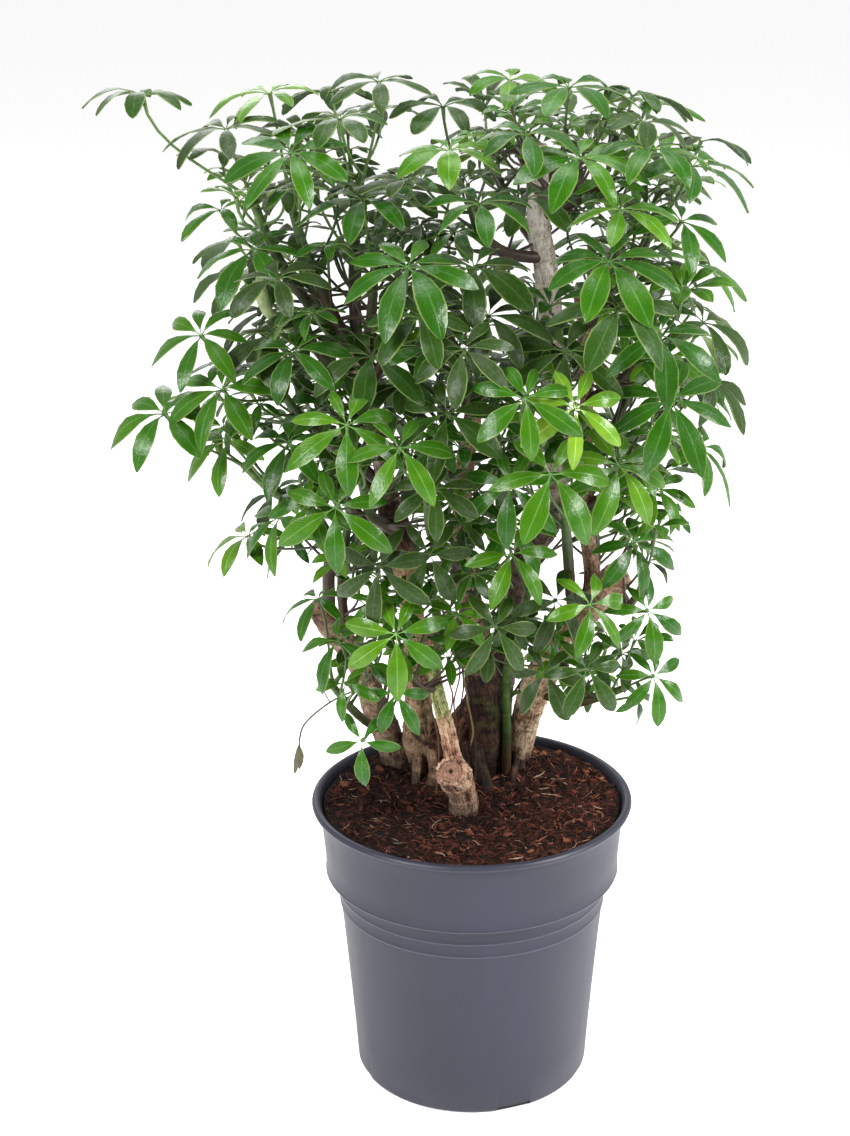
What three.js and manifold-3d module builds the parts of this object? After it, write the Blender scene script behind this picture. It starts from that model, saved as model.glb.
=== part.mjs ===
// A potted umbrella plant (Schefflera arboricola) of old cut trunks with leafy green shoots.
// Millimetres, +Z up. The origin is the centre of the pot's base and the front looks along -Y.

import * as THREE from 'three';
import { mergeVertices } from 'three/addons/utils/BufferGeometryUtils.js';
import Module from 'manifold-3d';

const wasm = await Module();
wasm.setup();

// Driving dimensions of the pot and its soil
const potHeight = 250;
const rimRadius = 135;
const beadRadius = 3.2;
const collarHeight = 63;
const collarFootRadius = 124;
const stepWidth = 9.4;
const stepDrop = 12;
const baseRadius = 99.5;
const wallThickness = 2.4;
const floorThickness = 3;
const ringDrops = [18.5, 30.5];
const drainNotch = { count: 4, width: 30, height: 5.5, depth: 14, turn: 21 };
const potSides = 28;
const soilTop = 237;
const soilRings = [86, 44];
const mound = { x: 2, y: 58, rise: 9, reach: 48 };

// Driving dimensions of the plant
const touchGap = 0.35;
const buriedEnd = 205;
const bladeThickness = 1;
const petioleLength = 75;
const petioleRadius = 1.3;
const crownAxis = { x: -20, y: 25 };
const crownTop = 820;
const crownFoot = 380;
const tiltAtTop = 12;
const tiltAtFoot = 54;
const reachAtTop = 57;
const reachAtFoot = 44;
const sagAtTop = 0.09;
const sagAtFoot = 0.24;

const paint = {
  pot: { color: 0x5c5d69, roughness: 0.45 },
  soil: { color: 0x3a241b, roughness: 0.95 },
  bark: { color: 0x8a6f58, roughness: 0.85 },
  leaf: { color: 0x3f7a2c, roughness: 0.4 },
};

const degrees = THREE.MathUtils.degToRad;
const up = new THREE.Vector3(0, 0, 1);

// One seeded stream of numbers from 0 to 1, so that every build grows the same plant
function seededRandom(seed) {
  let state = seed;
  return () => {
    state = (state * 1664525 + 1013904223) % 4294967296;
    return state / 4294967296;
  };
}

// A closed solid from a geometry: shared vertices merged, collapsed faces dropped, faces turned out
function solidFrom(geometry) {
  const bare = new THREE.BufferGeometry();
  bare.setAttribute('position', geometry.attributes.position.clone());
  bare.setIndex(geometry.index);
  const merged = mergeVertices(bare, 1e-3);
  const spots = merged.attributes.position;
  const corners = merged.index.array;
  const faces = [];
  let volume = 0;
  for (let i = 0; i < corners.length; i += 3) {
    const [a, b, c] = [corners[i], corners[i + 1], corners[i + 2]];
    if (a === b || b === c || c === a) continue;
    faces.push([a, b, c]);
    const [pa, pb, pc] = [a, b, c].map((n) => new THREE.Vector3().fromBufferAttribute(spots, n));
    volume += pa.dot(pb.cross(pc));
  }
  const turned = volume < 0 ? faces.map(([a, b, c]) => [a, c, b]) : faces;
  return new wasm.Manifold(new wasm.Mesh({
    numProp: 3,
    vertProperties: new Float32Array(spots.array),
    triVerts: new Uint32Array(turned.flat()),
  }));
}

function geometryFrom(solid) {
  const mesh = solid.getMesh();
  const geometry = new THREE.BufferGeometry();
  geometry.setAttribute('position', new THREE.BufferAttribute(mesh.vertProperties, 3));
  geometry.setIndex(new THREE.BufferAttribute(mesh.triVerts, 1));
  return geometry;
}

// The largest body of a solid: loose scraps that a cut leaves are dropped
function largestBody(solid) {
  const bodies = solid.decompose();
  return bodies.reduce((best, body) => (body.volume() > best.volume() ? body : best));
}

// A round stem or trunk along a smooth line through its points, its radius read from the same
// stations, with ribs and knots of bark as a formula. Grown by a gap, it is the hole it stands in.
function bentTube(path, { sides = 6, steps = 6, bark = 0, phase = 0, grow = 0 } = {}) {
  const points = path.map(([x, y, z]) => new THREE.Vector3(x, y, z));
  const radii = path.map((station) => station[3]);
  if (grow > 0) {
    const first = points[0].clone().sub(points[1]).setLength(grow);
    const last = points.at(-1).clone().sub(points.at(-2)).setLength(grow);
    points[0].add(first);
    points.at(-1).add(last);
  }
  const curve = new THREE.CatmullRomCurve3(points, false, 'centripetal');
  const frames = curve.computeFrenetFrames(steps);
  const reach = [0];
  for (let i = 1; i < points.length; i += 1) {
    reach.push(reach[i - 1] + points[i].distanceTo(points[i - 1]));
  }
  const radiusAt = (u) => {
    const along = u * reach.at(-1);
    const next = Math.max(1, reach.findIndex((r, i) => i > 0 && r >= along - 1e-6));
    const share = (along - reach[next - 1]) / (reach[next] - reach[next - 1]);
    return THREE.MathUtils.lerp(radii[next - 1], radii[next], Math.min(share, 1));
  };
  const tube = new THREE.CylinderGeometry(1, 1, 1, sides, steps);
  const spots = tube.attributes.position;
  for (let i = 0; i < spots.count; i += 1) {
    const across = new THREE.Vector2(spots.getX(i), spots.getZ(i));
    const ring = Math.round((spots.getY(i) + 0.5) * steps);
    const u = ring / steps;
    const around = across.angle();
    const ribs = bark * (0.6 * Math.sin(3 * around + phase + 5 * u) + 0.4 * Math.sin(5 * around - 11 * u));
    const knots = bark * 0.5 * Math.sin(17 * u + phase);
    const radius = radiusAt(u) * (1 + ribs + knots) + grow;
    const spot = curve.getPointAt(u);
    spot.addScaledVector(frames.binormals[ring], across.x * radius);
    spot.addScaledVector(frames.normals[ring], across.y * radius);
    spots.setXYZ(i, spot.x, spot.y, spot.z);
  }
  return solidFrom(tube);
}

// The pot and the soil share one set of facets, so that the gap between them is even all round
function lathed(profile) {
  const outline = profile.map(([r, z]) => new THREE.Vector2(r, z));
  return new THREE.LatheGeometry(outline, potSides).rotateX(Math.PI / 2);
}

const collarFoot = potHeight - collarHeight;
const bodyTop = collarFoot - stepDrop;
const bodyTopRadius = collarFootRadius - stepWidth;
const bodyRadiusAt = (z) => THREE.MathUtils.lerp(baseRadius, bodyTopRadius, z / bodyTop);
const collarTopRadius = rimRadius - 2 * beadRadius - 1;
const innerCollarFoot = collarFootRadius - wallThickness;
const innerCollarTop = collarTopRadius - wallThickness;

function makePot() {
  const rings = ringDrops.map((drop) => collarFoot - drop).reverse();
  const profile = [
    [0, 0],
    [baseRadius - 4, 0],
    [baseRadius, 4],
    ...rings.flatMap((z) => [[bodyRadiusAt(z) - 0.6, z - 1], [bodyRadiusAt(z) + 0.6, z]]),
    [bodyTopRadius, bodyTop],
    [collarFootRadius, collarFoot],
    [collarTopRadius, potHeight - 2 * beadRadius],
    [rimRadius - beadRadius, potHeight - 2 * beadRadius],
    [rimRadius, potHeight - beadRadius],
    [rimRadius - beadRadius, potHeight],
    [rimRadius - 2 * beadRadius, potHeight - 0.5],
    [innerCollarTop, potHeight - 8],
    [innerCollarFoot, collarFoot + 1],
    [bodyTopRadius - wallThickness, bodyTop + 1],
    [baseRadius - 5, floorThickness],
    [0, floorThickness],
  ];
  let pot = solidFrom(lathed(profile));
  for (let i = 0; i < drainNotch.count; i += 1) {
    const notch = new THREE.BoxGeometry(drainNotch.width, 2 * drainNotch.depth, 2 * drainNotch.height);
    notch.translate(0, -baseRadius, 0);
    notch.rotateZ(degrees(drainNotch.turn + (i * 360) / drainNotch.count));
    pot = pot.subtract(solidFrom(notch));
  }
  return pot;
}

// The soil fills the pot and rises a little, in lumps, to a mound round the trunks' feet
function makeSoil(holes) {
  const soilEdge = THREE.MathUtils.mapLinear(
    soilTop, collarFoot + 1, potHeight - 8, innerCollarFoot, innerCollarTop,
  );
  const profile = [
    [0, floorThickness + touchGap],
    [baseRadius - 5 - touchGap, floorThickness + touchGap],
    [bodyTopRadius - wallThickness - touchGap, bodyTop + 1 + touchGap],
    [innerCollarFoot - touchGap, collarFoot + 1 + touchGap],
    [soilEdge - touchGap, soilTop],
    ...soilRings.map((r) => [r, soilTop]),
    [0, soilTop],
  ];
  const soil = lathed(profile);
  const spots = soil.attributes.position;
  for (let i = 0; i < spots.count; i += 1) {
    const [x, y, z] = [spots.getX(i), spots.getY(i), spots.getZ(i)];
    const inner = 1 - Math.hypot(x, y) / soilEdge;
    if (z < soilTop - 1 || inner < 0.05) continue;
    const lumps = 1.6 * Math.sin(x / 9 + 1) * Math.sin(y / 11) + 1.2 * Math.sin(x / 5 - y / 7);
    const away = Math.hypot(x - mound.x, y - mound.y) / mound.reach;
    spots.setZ(i, z + 5 * inner + mound.rise * Math.exp(-away * away) + lumps);
  }
  return holes.reduce((body, hole) => body.subtract(hole), solidFrom(soil));
}

// The woody pieces: each line of stations is x, y, z and the radius there
const woods = [
  {
    name: 'front_stub',
    parts: [
      {
        path: [[-7, -8, buriedEnd, 14], [-7, -12, 240, 13.5], [-9, -18, 262, 12.5], [-14, -30, 280, 13.2],
          [-17, -39, 288, 12.4]],
        sides: 10,
        steps: 5,
      },
      {
        path: [[-12, -20, 275, 8], [-17, -18, 298, 6.8], [-21, -15, 318, 6], [-30, -12, 354, 5.6],
          [-32, -13, 388, 6.2], [-35, -17, 398, 5.4]],
        sides: 6,
        steps: 5,
      },
    ],
  },
  {
    name: 'right_trunk',
    parts: [
      {
        path: [[37, 76, buriedEnd, 7.2], [38, 70, 240, 7.2], [40, 64, 257, 8], [41, 62, 261, 10.3],
          [46, 52, 294, 12.4], [54, 38, 330, 13.5], [69, 22, 366, 12], [89, 7, 404, 11.2],
          [104, -6, 430, 13.5], [116, -20, 450, 12.5]],
        sides: 8,
        steps: 10,
        bark: 0.05,
      },
      {
        path: [[96, 0, 414, 8], [98, 4, 448, 6.5], [92, 5, 491, 6], [91, 6, 560, 5.6], [91, 5, 620, 5.4],
          [88, 3, 664, 7.5], [86, 1, 674, 7]],
        sides: 6,
        steps: 5,
        bark: 0.05,
      },
    ],
  },
  {
    name: 'centre_trunk',
    parts: [
      {
        path: [[12, 64, buriedEnd, 16], [13, 61, 245, 16], [11, 45, 309, 14.5], [5, 36, 366, 12],
          [-3, 30, 422, 9.5], [-8, 25, 471, 8], [-4, 20, 545, 7], [4, 15, 592, 7]],
        sides: 8,
        steps: 9,
        bark: 0.06,
      },
      {
        path: [[3, 48, 296, 6], [6, 36, 264, 5.8], [14, 22, 242, 5.4], [19, 14, 212, 5]],
        sides: 5,
        steps: 3,
        bark: 0.08,
      },
    ],
  },
  {
    name: 'mid_left_trunk',
    parts: [
      {
        path: [[-38, 88, buriedEnd, 15], [-41, 78, 245, 16], [-45, 62, 275, 15], [-46, 48, 315, 11],
          [-48, 36, 366, 9.5], [-52, 26, 425, 9], [-62, 17, 478, 12.5], [-65, 14, 494, 11.5],
          [-68, 10, 514, 7.5], [-76, 5, 558, 7], [-84, 0, 600, 6.8], [-93, 0, 636, 6.8]],
        sides: 8,
        steps: 12,
        bark: 0.07,
      },
      {
        path: [[-43, 62, 274, 5], [-47, 50, 258, 4.2], [-48, 42, 240, 4], [-47, 36, 214, 3.6]],
        sides: 5,
        steps: 3,
        bark: 0.08,
      },
      {
        path: [[-35, 56, 268, 5], [-33, 42, 250, 4.2], [-36, 28, 238, 4], [-38, 20, 214, 3.6]],
        sides: 5,
        steps: 3,
        bark: 0.08,
      },
    ],
  },
  {
    name: 'left_trunk',
    parts: [
      {
        path: [[-64, 78, buriedEnd, 11], [-67, 78, 245, 12.5], [-75, 72, 276, 12.5], [-84, 60, 306, 11],
          [-93, 40, 346, 10], [-105, 22, 376, 10], [-115, 10, 396, 11], [-124, -1, 417, 10.5]],
        sides: 8,
        steps: 8,
        bark: 0.06,
      },
    ],
  },
  {
    name: 'tall_trunk',
    parts: [
      {
        path: [[20, 102, buriedEnd, 12], [21, 99, 245, 12], [26, 84, 319, 11.5], [36, 62, 399, 11],
          [47, 45, 449, 11], [64, 34, 484, 11], [69, 30, 530, 10], [67, 30, 590, 9.5], [60, 30, 680, 9.5],
          [53, 30, 722, 9.2], [50, 30, 786, 8.4]],
        sides: 8,
        steps: 10,
        bark: 0.05,
      },
    ],
  },
];

// The green shoots, each from inside the wood it grows from: its stem's stations are x, y, z and
// radius. A leaf is its hub's x, y, z and its number of leaflets, then, where they differ from the
// rules below, its reach, the way it faces (0 is the front, 90 the right) and its tilt from level.
const shoots = [
  {
    name: 'shoot_tip_left',
    stem: [[-90, 0, 622, 5], [-122, 8, 660, 4.6], [-150, 2, 705, 4.2], [-168, -5, 752, 3.4]],
    leaves: [[-247, -5, 829, 8, 50, -20, 3], [-182, -25, 808, 7, 58], [-190, -20, 746, 5, 44]],
  },
  {
    name: 'shoot_left_crown',
    stem: [[-92, 0, 630, 5], [-112, -8, 672, 4.6], [-128, -14, 715, 4], [-138, -14, 752, 3.2]],
    leaves: [[-154, 20, 828, 6, 55], [-130, -85, 798, 8, 62, -10, 32], [-164, -42, 720, 7, 56, -30, 28]],
  },
  {
    name: 'shoot_left_top',
    stem: [[-90, 2, 634, 5], [-92, 12, 680, 4.6], [-90, 14, 730, 4], [-85, 12, 768, 3.2]],
    leaves: [[-95, -50, 816, 7, 55], [-72, 12, 838, 6, 52], [-110, 75, 822, 6, 52]],
  },
  {
    name: 'shoot_left_inner',
    stem: [[-86, -2, 612, 4.6], [-78, -16, 660, 4.2], [-74, -22, 705, 3.2]],
    leaves: [[-55, 15, 755, 7, 55], [-80, -70, 762, 7, 54]],
  },
  {
    name: 'shoot_left_bank',
    stem: [[-80, 1, 582, 4.8], [-103, -8, 612, 4.4], [-122, -16, 640, 3.8], [-130, -20, 664, 3.2]],
    leaves: [[-140, -88, 708, 6, 50], [-150, -50, 657, 6, 52], [-180, 20, 690, 6, 52]],
  },
  {
    name: 'shoot_left_front',
    stem: [[-74, 6, 552, 4.6], [-84, -20, 580, 4.2], [-90, -38, 610, 3.2]],
    leaves: [[-130, -80, 650, 7, 54], [-77, -95, 650, 7, 60, 5, 35]],
  },
  {
    name: 'shoot_left_reach',
    stem: [[-68, 10, 516, 5], [-102, 2, 548, 4.6], [-134, -8, 580, 4], [-152, -16, 608, 3.2]],
    leaves: [[-205, -50, 656, 7, 54, -25, 36], [-188, -70, 619, 7, 56, -25, 38]],
  },
  {
    name: 'shoot_centre_crown',
    stem: [[-84, -2, 598, 4.6], [-68, -36, 632, 4.2], [-55, -58, 656, 3.2]],
    leaves: [[-46, -120, 722, 8, 64, 5, 32], [-36, -135, 685, 6, 50]],
  },
  {
    name: 'shoot_left_low',
    stem: [[-117, 6, 402, 5.4], [-117, 4, 440, 5.2], [-116, 6, 472, 5], [-132, 6, 500, 4.8],
      [-158, -2, 517, 4.4], [-180, -18, 544, 3.4]],
    leaves: [[-234, -62, 597, 7, 57, -20, 32], [-186, -44, 570, 6, 52], [-152, -30, 505, 6, 52, -55, 45],
      [-182, 10, 476, 6, 46, -70, 24], [-148, 60, 456, 5, 40, -60, 30]],
  },
  {
    name: 'shoot_left_middle',
    stem: [[-72, 12, 470, 4.8], [-95, -8, 505, 4.4], [-112, -22, 535, 3.4]],
    leaves: [[-138, -85, 582, 7, 50], [-126, -42, 566, 6, 46]],
  },
  {
    name: 'shoot_front_left',
    stem: [[-62, 12, 480, 5], [-70, -22, 496, 4.6], [-80, -52, 516, 4], [-84, -72, 545, 3.2]],
    leaves: [[-91, -138, 610, 7, 58, 0, 48], [-101, -128, 545, 7, 56, -5, 62]],
  },
  {
    name: 'shoot_front_middle',
    stem: [[-3, 28, 425, 5.4], [-20, -8, 462, 5], [-32, -42, 498, 4.6], [-34, -68, 535, 3.4]],
    leaves: [[-53, -145, 598, 6, 52, 15, 50], [-27, -135, 560, 7, 40, 5, 45],
      [-70, -100, 488, 7, 50, -15, 72], [-30, -100, 496, 6, 46, 10, 75]],
  },
  {
    name: 'shoot_low_left',
    stem: [[-74, 66, 286, 4], [-80, 24, 300, 3.8], [-96, -14, 330, 3.6], [-116, -34, 366, 3]],
    leaves: [[-124, -24, 434, 6, 42, -60, 22], [-104, -92, 424, 5, 42, -30, 42],
      [-98, -100, 392, 5, 34, -20, 55]],
  },
  {
    name: 'shoot_stub_left',
    stem: [[-30, -12, 350, 3.4], [-42, -34, 362, 3.2], [-52, -52, 382, 2.8]],
    leaves: [[-60, -112, 440, 7, 56, 0, 62], [-60, -100, 384, 6, 38, 10, 62],
      [-84, -114, 348, 5, 38, -10, 66]],
  },
  {
    name: 'shoot_stub_top',
    stem: [[-30, -12, 378, 3.6], [-18, -24, 402, 3.4], [0, -34, 436, 3.2], [14, -48, 470, 2.8]],
    leaves: [[18, -122, 447, 6, 46, 10, 70], [30, -105, 500, 6, 48, 15, 50]],
  },
  {
    name: 'shoot_right_green',
    stem: [[86, 8, 398, 4.8], [80, -14, 436, 4.6], [76, -30, 480, 4.4], [72, -48, 520, 3.4]],
    leaves: [[108, -125, 576, 8, 54, 20, 55], [56, -145, 575, 6, 62, 15, 50],
      [90, -108, 460, 6, 46, 30, 55]],
  },
  {
    name: 'shoot_right_low',
    stem: [[60, 34, 326, 4], [84, 6, 330, 3.8], [104, -20, 346, 3.6], [124, -42, 364, 3]],
    leaves: [[142, -88, 393, 7, 40, 25, 60], [118, -60, 402, 5, 34, 20, 60]],
  },
  {
    name: 'shoot_right_front',
    stem: [[75, 18, 370, 4], [76, -14, 372, 3.8], [75, -46, 382, 3]],
    leaves: [[88, -120, 412, 6, 42, 15, 60], [58, -88, 396, 6, 42, -15, 60]],
  },
  {
    name: 'shoot_right_knob',
    stem: [[106, -6, 428, 4.2], [122, -26, 424, 4], [130, -40, 440, 3]],
    leaves: [[136, -86, 446, 7, 46, 20, 62], [126, -60, 492, 7, 50, 35, 50]],
  },
  {
    name: 'shoot_right_middle',
    stem: [[91, 6, 500, 4.8], [118, -14, 526, 4.4], [140, -32, 560, 3.4]],
    leaves: [[180, -14, 558, 7, 52, 70, 42], [145, -120, 624, 8, 64, 10, 52],
      [182, -25, 616, 7, 56, 55, 40]],
  },
  {
    name: 'shoot_right_upper',
    stem: [[91, 5, 590, 4.6], [116, -16, 612, 4.2], [134, -36, 640, 3.2]],
    leaves: [[136, -125, 674, 7, 58, 10, 45], [176, -40, 664, 6, 56, 60, 35],
      [168, -25, 706, 6, 56, 75, 28]],
  },
  {
    name: 'shoot_right_crown',
    stem: [[88, 4, 652, 4.6], [94, -34, 664, 4.2], [98, -58, 684, 3.2]],
    leaves: [[98, -120, 726, 8, 64, 8, 30], [104, -140, 696, 6, 60, 12, 35],
      [68, -112, 658, 7, 58, -5, 38]],
  },
  {
    name: 'shoot_centre_front',
    stem: [[67, 28, 552, 4.8], [62, -18, 562, 4.6], [56, -56, 572, 4], [52, -80, 592, 3.2]],
    leaves: [[72, -160, 630, 7, 52, 5, 58], [44, -150, 645, 7, 58, -20, 40],
      [28, -135, 560, 7, 56, -15, 58]],
  },
  {
    name: 'shoot_centre_dark',
    stem: [[2, 16, 578, 4.6], [-4, -26, 594, 4.2], [-4, -58, 618, 3.8], [0, -66, 648, 3]],
    leaves: [[-18, -112, 612, 7, 54, -10, 45], [-6, -145, 668, 7, 50, -10, 42],
      [12, -108, 684, 8, 54, 10, 32]],
  },
  {
    name: 'shoot_top_right',
    stem: [[52, 30, 732, 4.8], [82, 12, 748, 4.4], [106, -12, 768, 3.4]],
    leaves: [[123, 25, 826, 6, 52], [124, -42, 816, 7, 54], [128, -92, 801, 7, 56]],
  },
  {
    name: 'shoot_far_right',
    stem: [[88, 3, 662, 5], [112, -8, 688, 4.6], [130, -20, 716, 4], [136, -26, 738, 3.2]],
    leaves: [[164, -40, 782, 7, 60, 50, 20], [152, -74, 744, 6, 52, 40, 30]],
  },
  {
    name: 'shoot_top_front',
    stem: [[51, 28, 752, 4.6], [64, -10, 756, 4.2], [74, -36, 768, 3.2]],
    leaves: [[72, -20, 836, 7, 60], [76, -100, 796, 8, 58, 5, 26], [106, -112, 762, 6, 52]],
  },
  {
    name: 'shoot_top_centre',
    stem: [[50, 28, 768, 4.4], [42, 2, 776, 4], [34, -16, 792, 3]],
    leaves: [[29, 20, 838, 6, 50], [38, -88, 811, 7, 50], [40, -66, 762, 6, 48]],
  },
  {
    name: 'shoot_top_middle',
    stem: [[56, 28, 700, 4.8], [26, 8, 708, 4.6], [6, -10, 728, 4.2], [-2, -22, 760, 3.2]],
    leaves: [[-16, -86, 800, 7, 50], [6, -108, 765, 7, 52], [2, -86, 715, 7, 58, -5, 28],
      [-22, 20, 818, 6, 50]],
  },
  {
    name: 'shoot_from_soil',
    stem: [[30, 47, buriedEnd, 4], [30, 46, 250, 4], [30, 41, 290, 4], [30, 30, 350, 3.8],
      [40, 5, 400, 3.8], [46, -20, 440, 3]],
    leaves: [[66, -60, 446, 6, 46, 20, 55], [28, -50, 505, 6, 48]],
  },
];

// The shoots behind, which the view from the front doesn't show: their leaves stand in a spiral
const backLeaflets = 5;
const backShoots = [
  ['shoot_back_left_top', 3, [[-92, 2, 628, 4.8], [-92, 45, 690, 4.2], [-95, 80, 748, 3.2]]],
  ['shoot_back_left_high', 3, [[-84, 2, 596, 4.8], [-115, 50, 640, 4.2], [-140, 85, 690, 3.2]]],
  ['shoot_back_left_middle', 2, [[-66, 14, 500, 4.8], [-98, 52, 520, 4.2], [-135, 88, 560, 3.2]]],
  ['shoot_back_left_low', 2, [[-104, 22, 376, 4.6], [-110, 60, 418, 4], [-104, 92, 470, 3.2]]],
  ['shoot_back_middle_low', 2, [[-47, 46, 330, 4.4], [-54, 90, 370, 4], [-62, 118, 420, 3.2]]],
  ['shoot_back_middle', 2, [[-7, 26, 468, 4.6], [-16, 72, 505, 4.2], [-24, 108, 560, 3.2]]],
  ['shoot_back_centre', 2, [[2, 16, 584, 4.6], [-18, 58, 630, 4.2], [-34, 88, 690, 3.2]]],
  ['shoot_back_right_low', 2, [[42, 56, 412, 4.6], [58, 94, 430, 4.2], [72, 120, 480, 3.2]]],
  ['shoot_back_right_side', 2, [[93, 6, 408, 4.4], [104, 50, 440, 4], [100, 92, 492, 3.2]]],
  ['shoot_back_right_middle', 3, [[92, 6, 530, 4.6], [118, 48, 560, 4.2], [138, 84, 610, 3.2]]],
  ['shoot_back_tall', 2, [[68, 30, 560, 4.6], [60, 78, 590, 4.2], [46, 112, 640, 3.2]]],
  ['shoot_back_right_top', 2, [[90, 5, 645, 4.6], [114, 46, 690, 4.2], [126, 72, 736, 3.2]]],
  ['shoot_back_centre_top', 2, [[55, 30, 704, 4.6], [34, 68, 730, 4.2], [16, 92, 762, 3.2]]],
  ['shoot_back_top', 2, [[50, 32, 760, 4.4], [64, 54, 760, 4], [76, 74, 764, 3]]],
];

const heightInCrown = (z) => THREE.MathUtils.clamp((z - crownFoot) / (crownTop - crownFoot), 0, 1);

// How a leaf hangs where nothing else is said: level at the top of the crown, facing out lower down
function leafFacing([x, y, z, , , face, tilt]) {
  const sidePull = 0.55;
  const forePull = y < crownAxis.y ? -40 : 40;
  const out = face === undefined
    ? new THREE.Vector3(sidePull * (x - crownAxis.x), y - crownAxis.y + forePull, 0).normalize()
    : new THREE.Vector3(Math.sin(degrees(face)), -Math.cos(degrees(face)), 0);
  return { out, tilt: tilt ?? THREE.MathUtils.lerp(tiltAtFoot, tiltAtTop, heightInCrown(z)) };
}

const usualReach = (z) => THREE.MathUtils.lerp(reachAtFoot, reachAtTop, heightInCrown(z));
const leafReach = ([, , z, , reach]) => reach ?? usualReach(z);
const leafSag = (z) => THREE.MathUtils.lerp(sagAtFoot, sagAtTop, heightInCrown(z));

// The outline of a palmate leaf, round its hub: a notch, then one leaflet's side, tip and side,
// each as its angle, its reach and its height over the hub. The leaflets fan out from the one that
// points away from the petiole, which is the longest.
function leafOutline({ count, reach, jitter, width, sag }) {
  const fan = degrees(count > 6 ? 312 : 290);
  const spacing = fan / (count - 1);
  const angleJitter = 0.07;
  const lengthJitter = 0.08;
  const widestAt = 0.55;
  const shareOfGap = 0.43;
  const notchReach = 0.15 * reach;
  const angles = Array.from({ length: count }, (_, i) => -fan / 2 + i * spacing + angleJitter * jitter[i]);
  const outline = [];
  angles.forEach((angle, i) => {
    const before = i === 0 ? -Math.PI : (angles[i - 1] + angle) / 2;
    const length = reach * (0.82 + 0.18 * Math.cos(angle) + lengthJitter * jitter[i + count]);
    const middle = widestAt * length;
    const half = Math.min(width * length, middle * Math.tan(shareOfGap * spacing));
    const side = Math.atan2(half, middle);
    const sideReach = Math.hypot(half, middle);
    const sideRise = 0.5 - 0.4 * sag * length;
    outline.push([before, notchReach, -0.4]);
    outline.push([angle - side, sideReach, sideRise]);
    outline.push([angle, length, -sag * length]);
    outline.push([angle + side, sideReach, sideRise]);
  });
  return outline;
}

// One leaf as one solid: a thin plate folded along each leaflet's rib, thickest along the rib, and
// the petiole under its hub
function leafSolid(leaf, { grow = 0, petiole = true } = {}) {
  const { hub, out, normal, outline, root, bow } = leaf;
  const down = normal.clone().negate();
  const along = out.clone().addScaledVector(normal, -out.dot(normal)).normalize();
  const across = normal.clone().cross(along);
  const place = ([angle, r, rise], lift) => hub.clone()
    .addScaledVector(along, (r + grow) * Math.cos(angle))
    .addScaledVector(across, (r + grow) * Math.sin(angle))
    .addScaledVector(normal, rise + lift);
  const rim = outline.length;
  const keel = outline.filter((spot, i) => i % 2 === 0);
  const spots = [
    hub.clone().addScaledVector(normal, grow),
    ...outline.map((spot) => place(spot, grow)),
    ...keel.map((spot) => place(spot, -bladeThickness - grow)),
  ];
  const top = (i) => 1 + (i % rim);
  const low = (i) => 1 + rim + ((i / 2) % keel.length);
  const faces = [];
  for (let i = 0; i < rim; i += 2) {
    const [here, side, next] = [top(i), top(i + 1), top(i + 2)];
    faces.push([0, here, side], [0, side, next]);
    faces.push([here, low(i), side], [side, low(i), low(i + 2)], [side, low(i + 2), next]);
  }

  // The petiole leaves the hub straight down the leaf's own axis and bends into the stem
  const start = hub.clone().addScaledVector(normal, -bladeThickness - grow);
  const span = start.distanceTo(root);
  const leaving = start.clone().addScaledVector(down, 0.35 * span);
  const arriving = root.clone().lerp(start, 0.35).add(bow);
  const curve = new THREE.CubicBezierCurve3(start, leaving, arriving, root);
  const steps = petiole ? 2 : 1;
  const frames = curve.computeFrenetFrames(steps);
  const rings = [];
  for (let s = 0; s <= (petiole ? steps : 0); s += 1) {
    const centre = s === 0 ? start : curve.getPointAt(s / steps);
    const radius = petioleRadius * (s === steps ? 1.5 : 1) + grow;
    const ring = [0, 1, 2].map((k) => {
      const turn = (k * 2 * Math.PI) / 3;
      return centre.clone()
        .addScaledVector(frames.normals[s], radius * Math.cos(turn))
        .addScaledVector(frames.binormals[s], radius * Math.sin(turn));
    });
    rings.push(spots.length);
    spots.push(...ring);
  }

  // The blade's lower face runs from its outline to the petiole's first ring
  const angleOf = (spot) => {
    const from = spot.clone().sub(start);
    return Math.atan2(from.dot(across), from.dot(along));
  };
  const order = [0, 1, 2].map((k) => ({ k, angle: angleOf(spots[rings[0] + k]) }))
    .sort((a, b) => a.angle - b.angle);
  const turnBetween = (a, b) => {
    const turn = THREE.MathUtils.euclideanModulo(a - b + Math.PI, 2 * Math.PI) - Math.PI;
    return Math.abs(turn);
  };
  const nearest = (angle) => {
    const gaps = order.map((o) => turnBetween(angle, o.angle));
    return gaps.indexOf(Math.min(...gaps));
  };
  const ringSpot = (n) => rings[0] + order[n].k;
  for (let i = 0; i < rim; i += 2) {
    const here = nearest(outline[i][0]);
    const there = nearest(outline[(i + 2) % rim][0]);
    faces.push([ringSpot(here), low(i + 2), low(i)]);
    if (there !== here) faces.push([ringSpot(here), ringSpot(there), low(i + 2)]);
  }
  const windsWithOrder = (order[1].k - order[0].k + 3) % 3 === 1;
  for (let s = 0; s + 1 < rings.length; s += 1) {
    for (let k = 0; k < 3; k += 1) {
      const [a, b] = windsWithOrder ? [k, (k + 1) % 3] : [(k + 1) % 3, k];
      faces.push([rings[s] + b, rings[s] + a, rings[s + 1] + a]);
      faces.push([rings[s] + b, rings[s + 1] + a, rings[s + 1] + b]);
    }
  }
  const last = rings.at(-1);
  faces.push(windsWithOrder ? [last + 2, last + 1, last] : [last, last + 1, last + 2]);

  const geometry = new THREE.BufferGeometry().setFromPoints(spots);
  geometry.setIndex(faces.flat());
  return solidFrom(geometry);
}

const boxesMeet = (a, b) => [0, 1, 2].every((i) => a.min[i] <= b.max[i] && b.min[i] <= a.max[i]);

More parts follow.
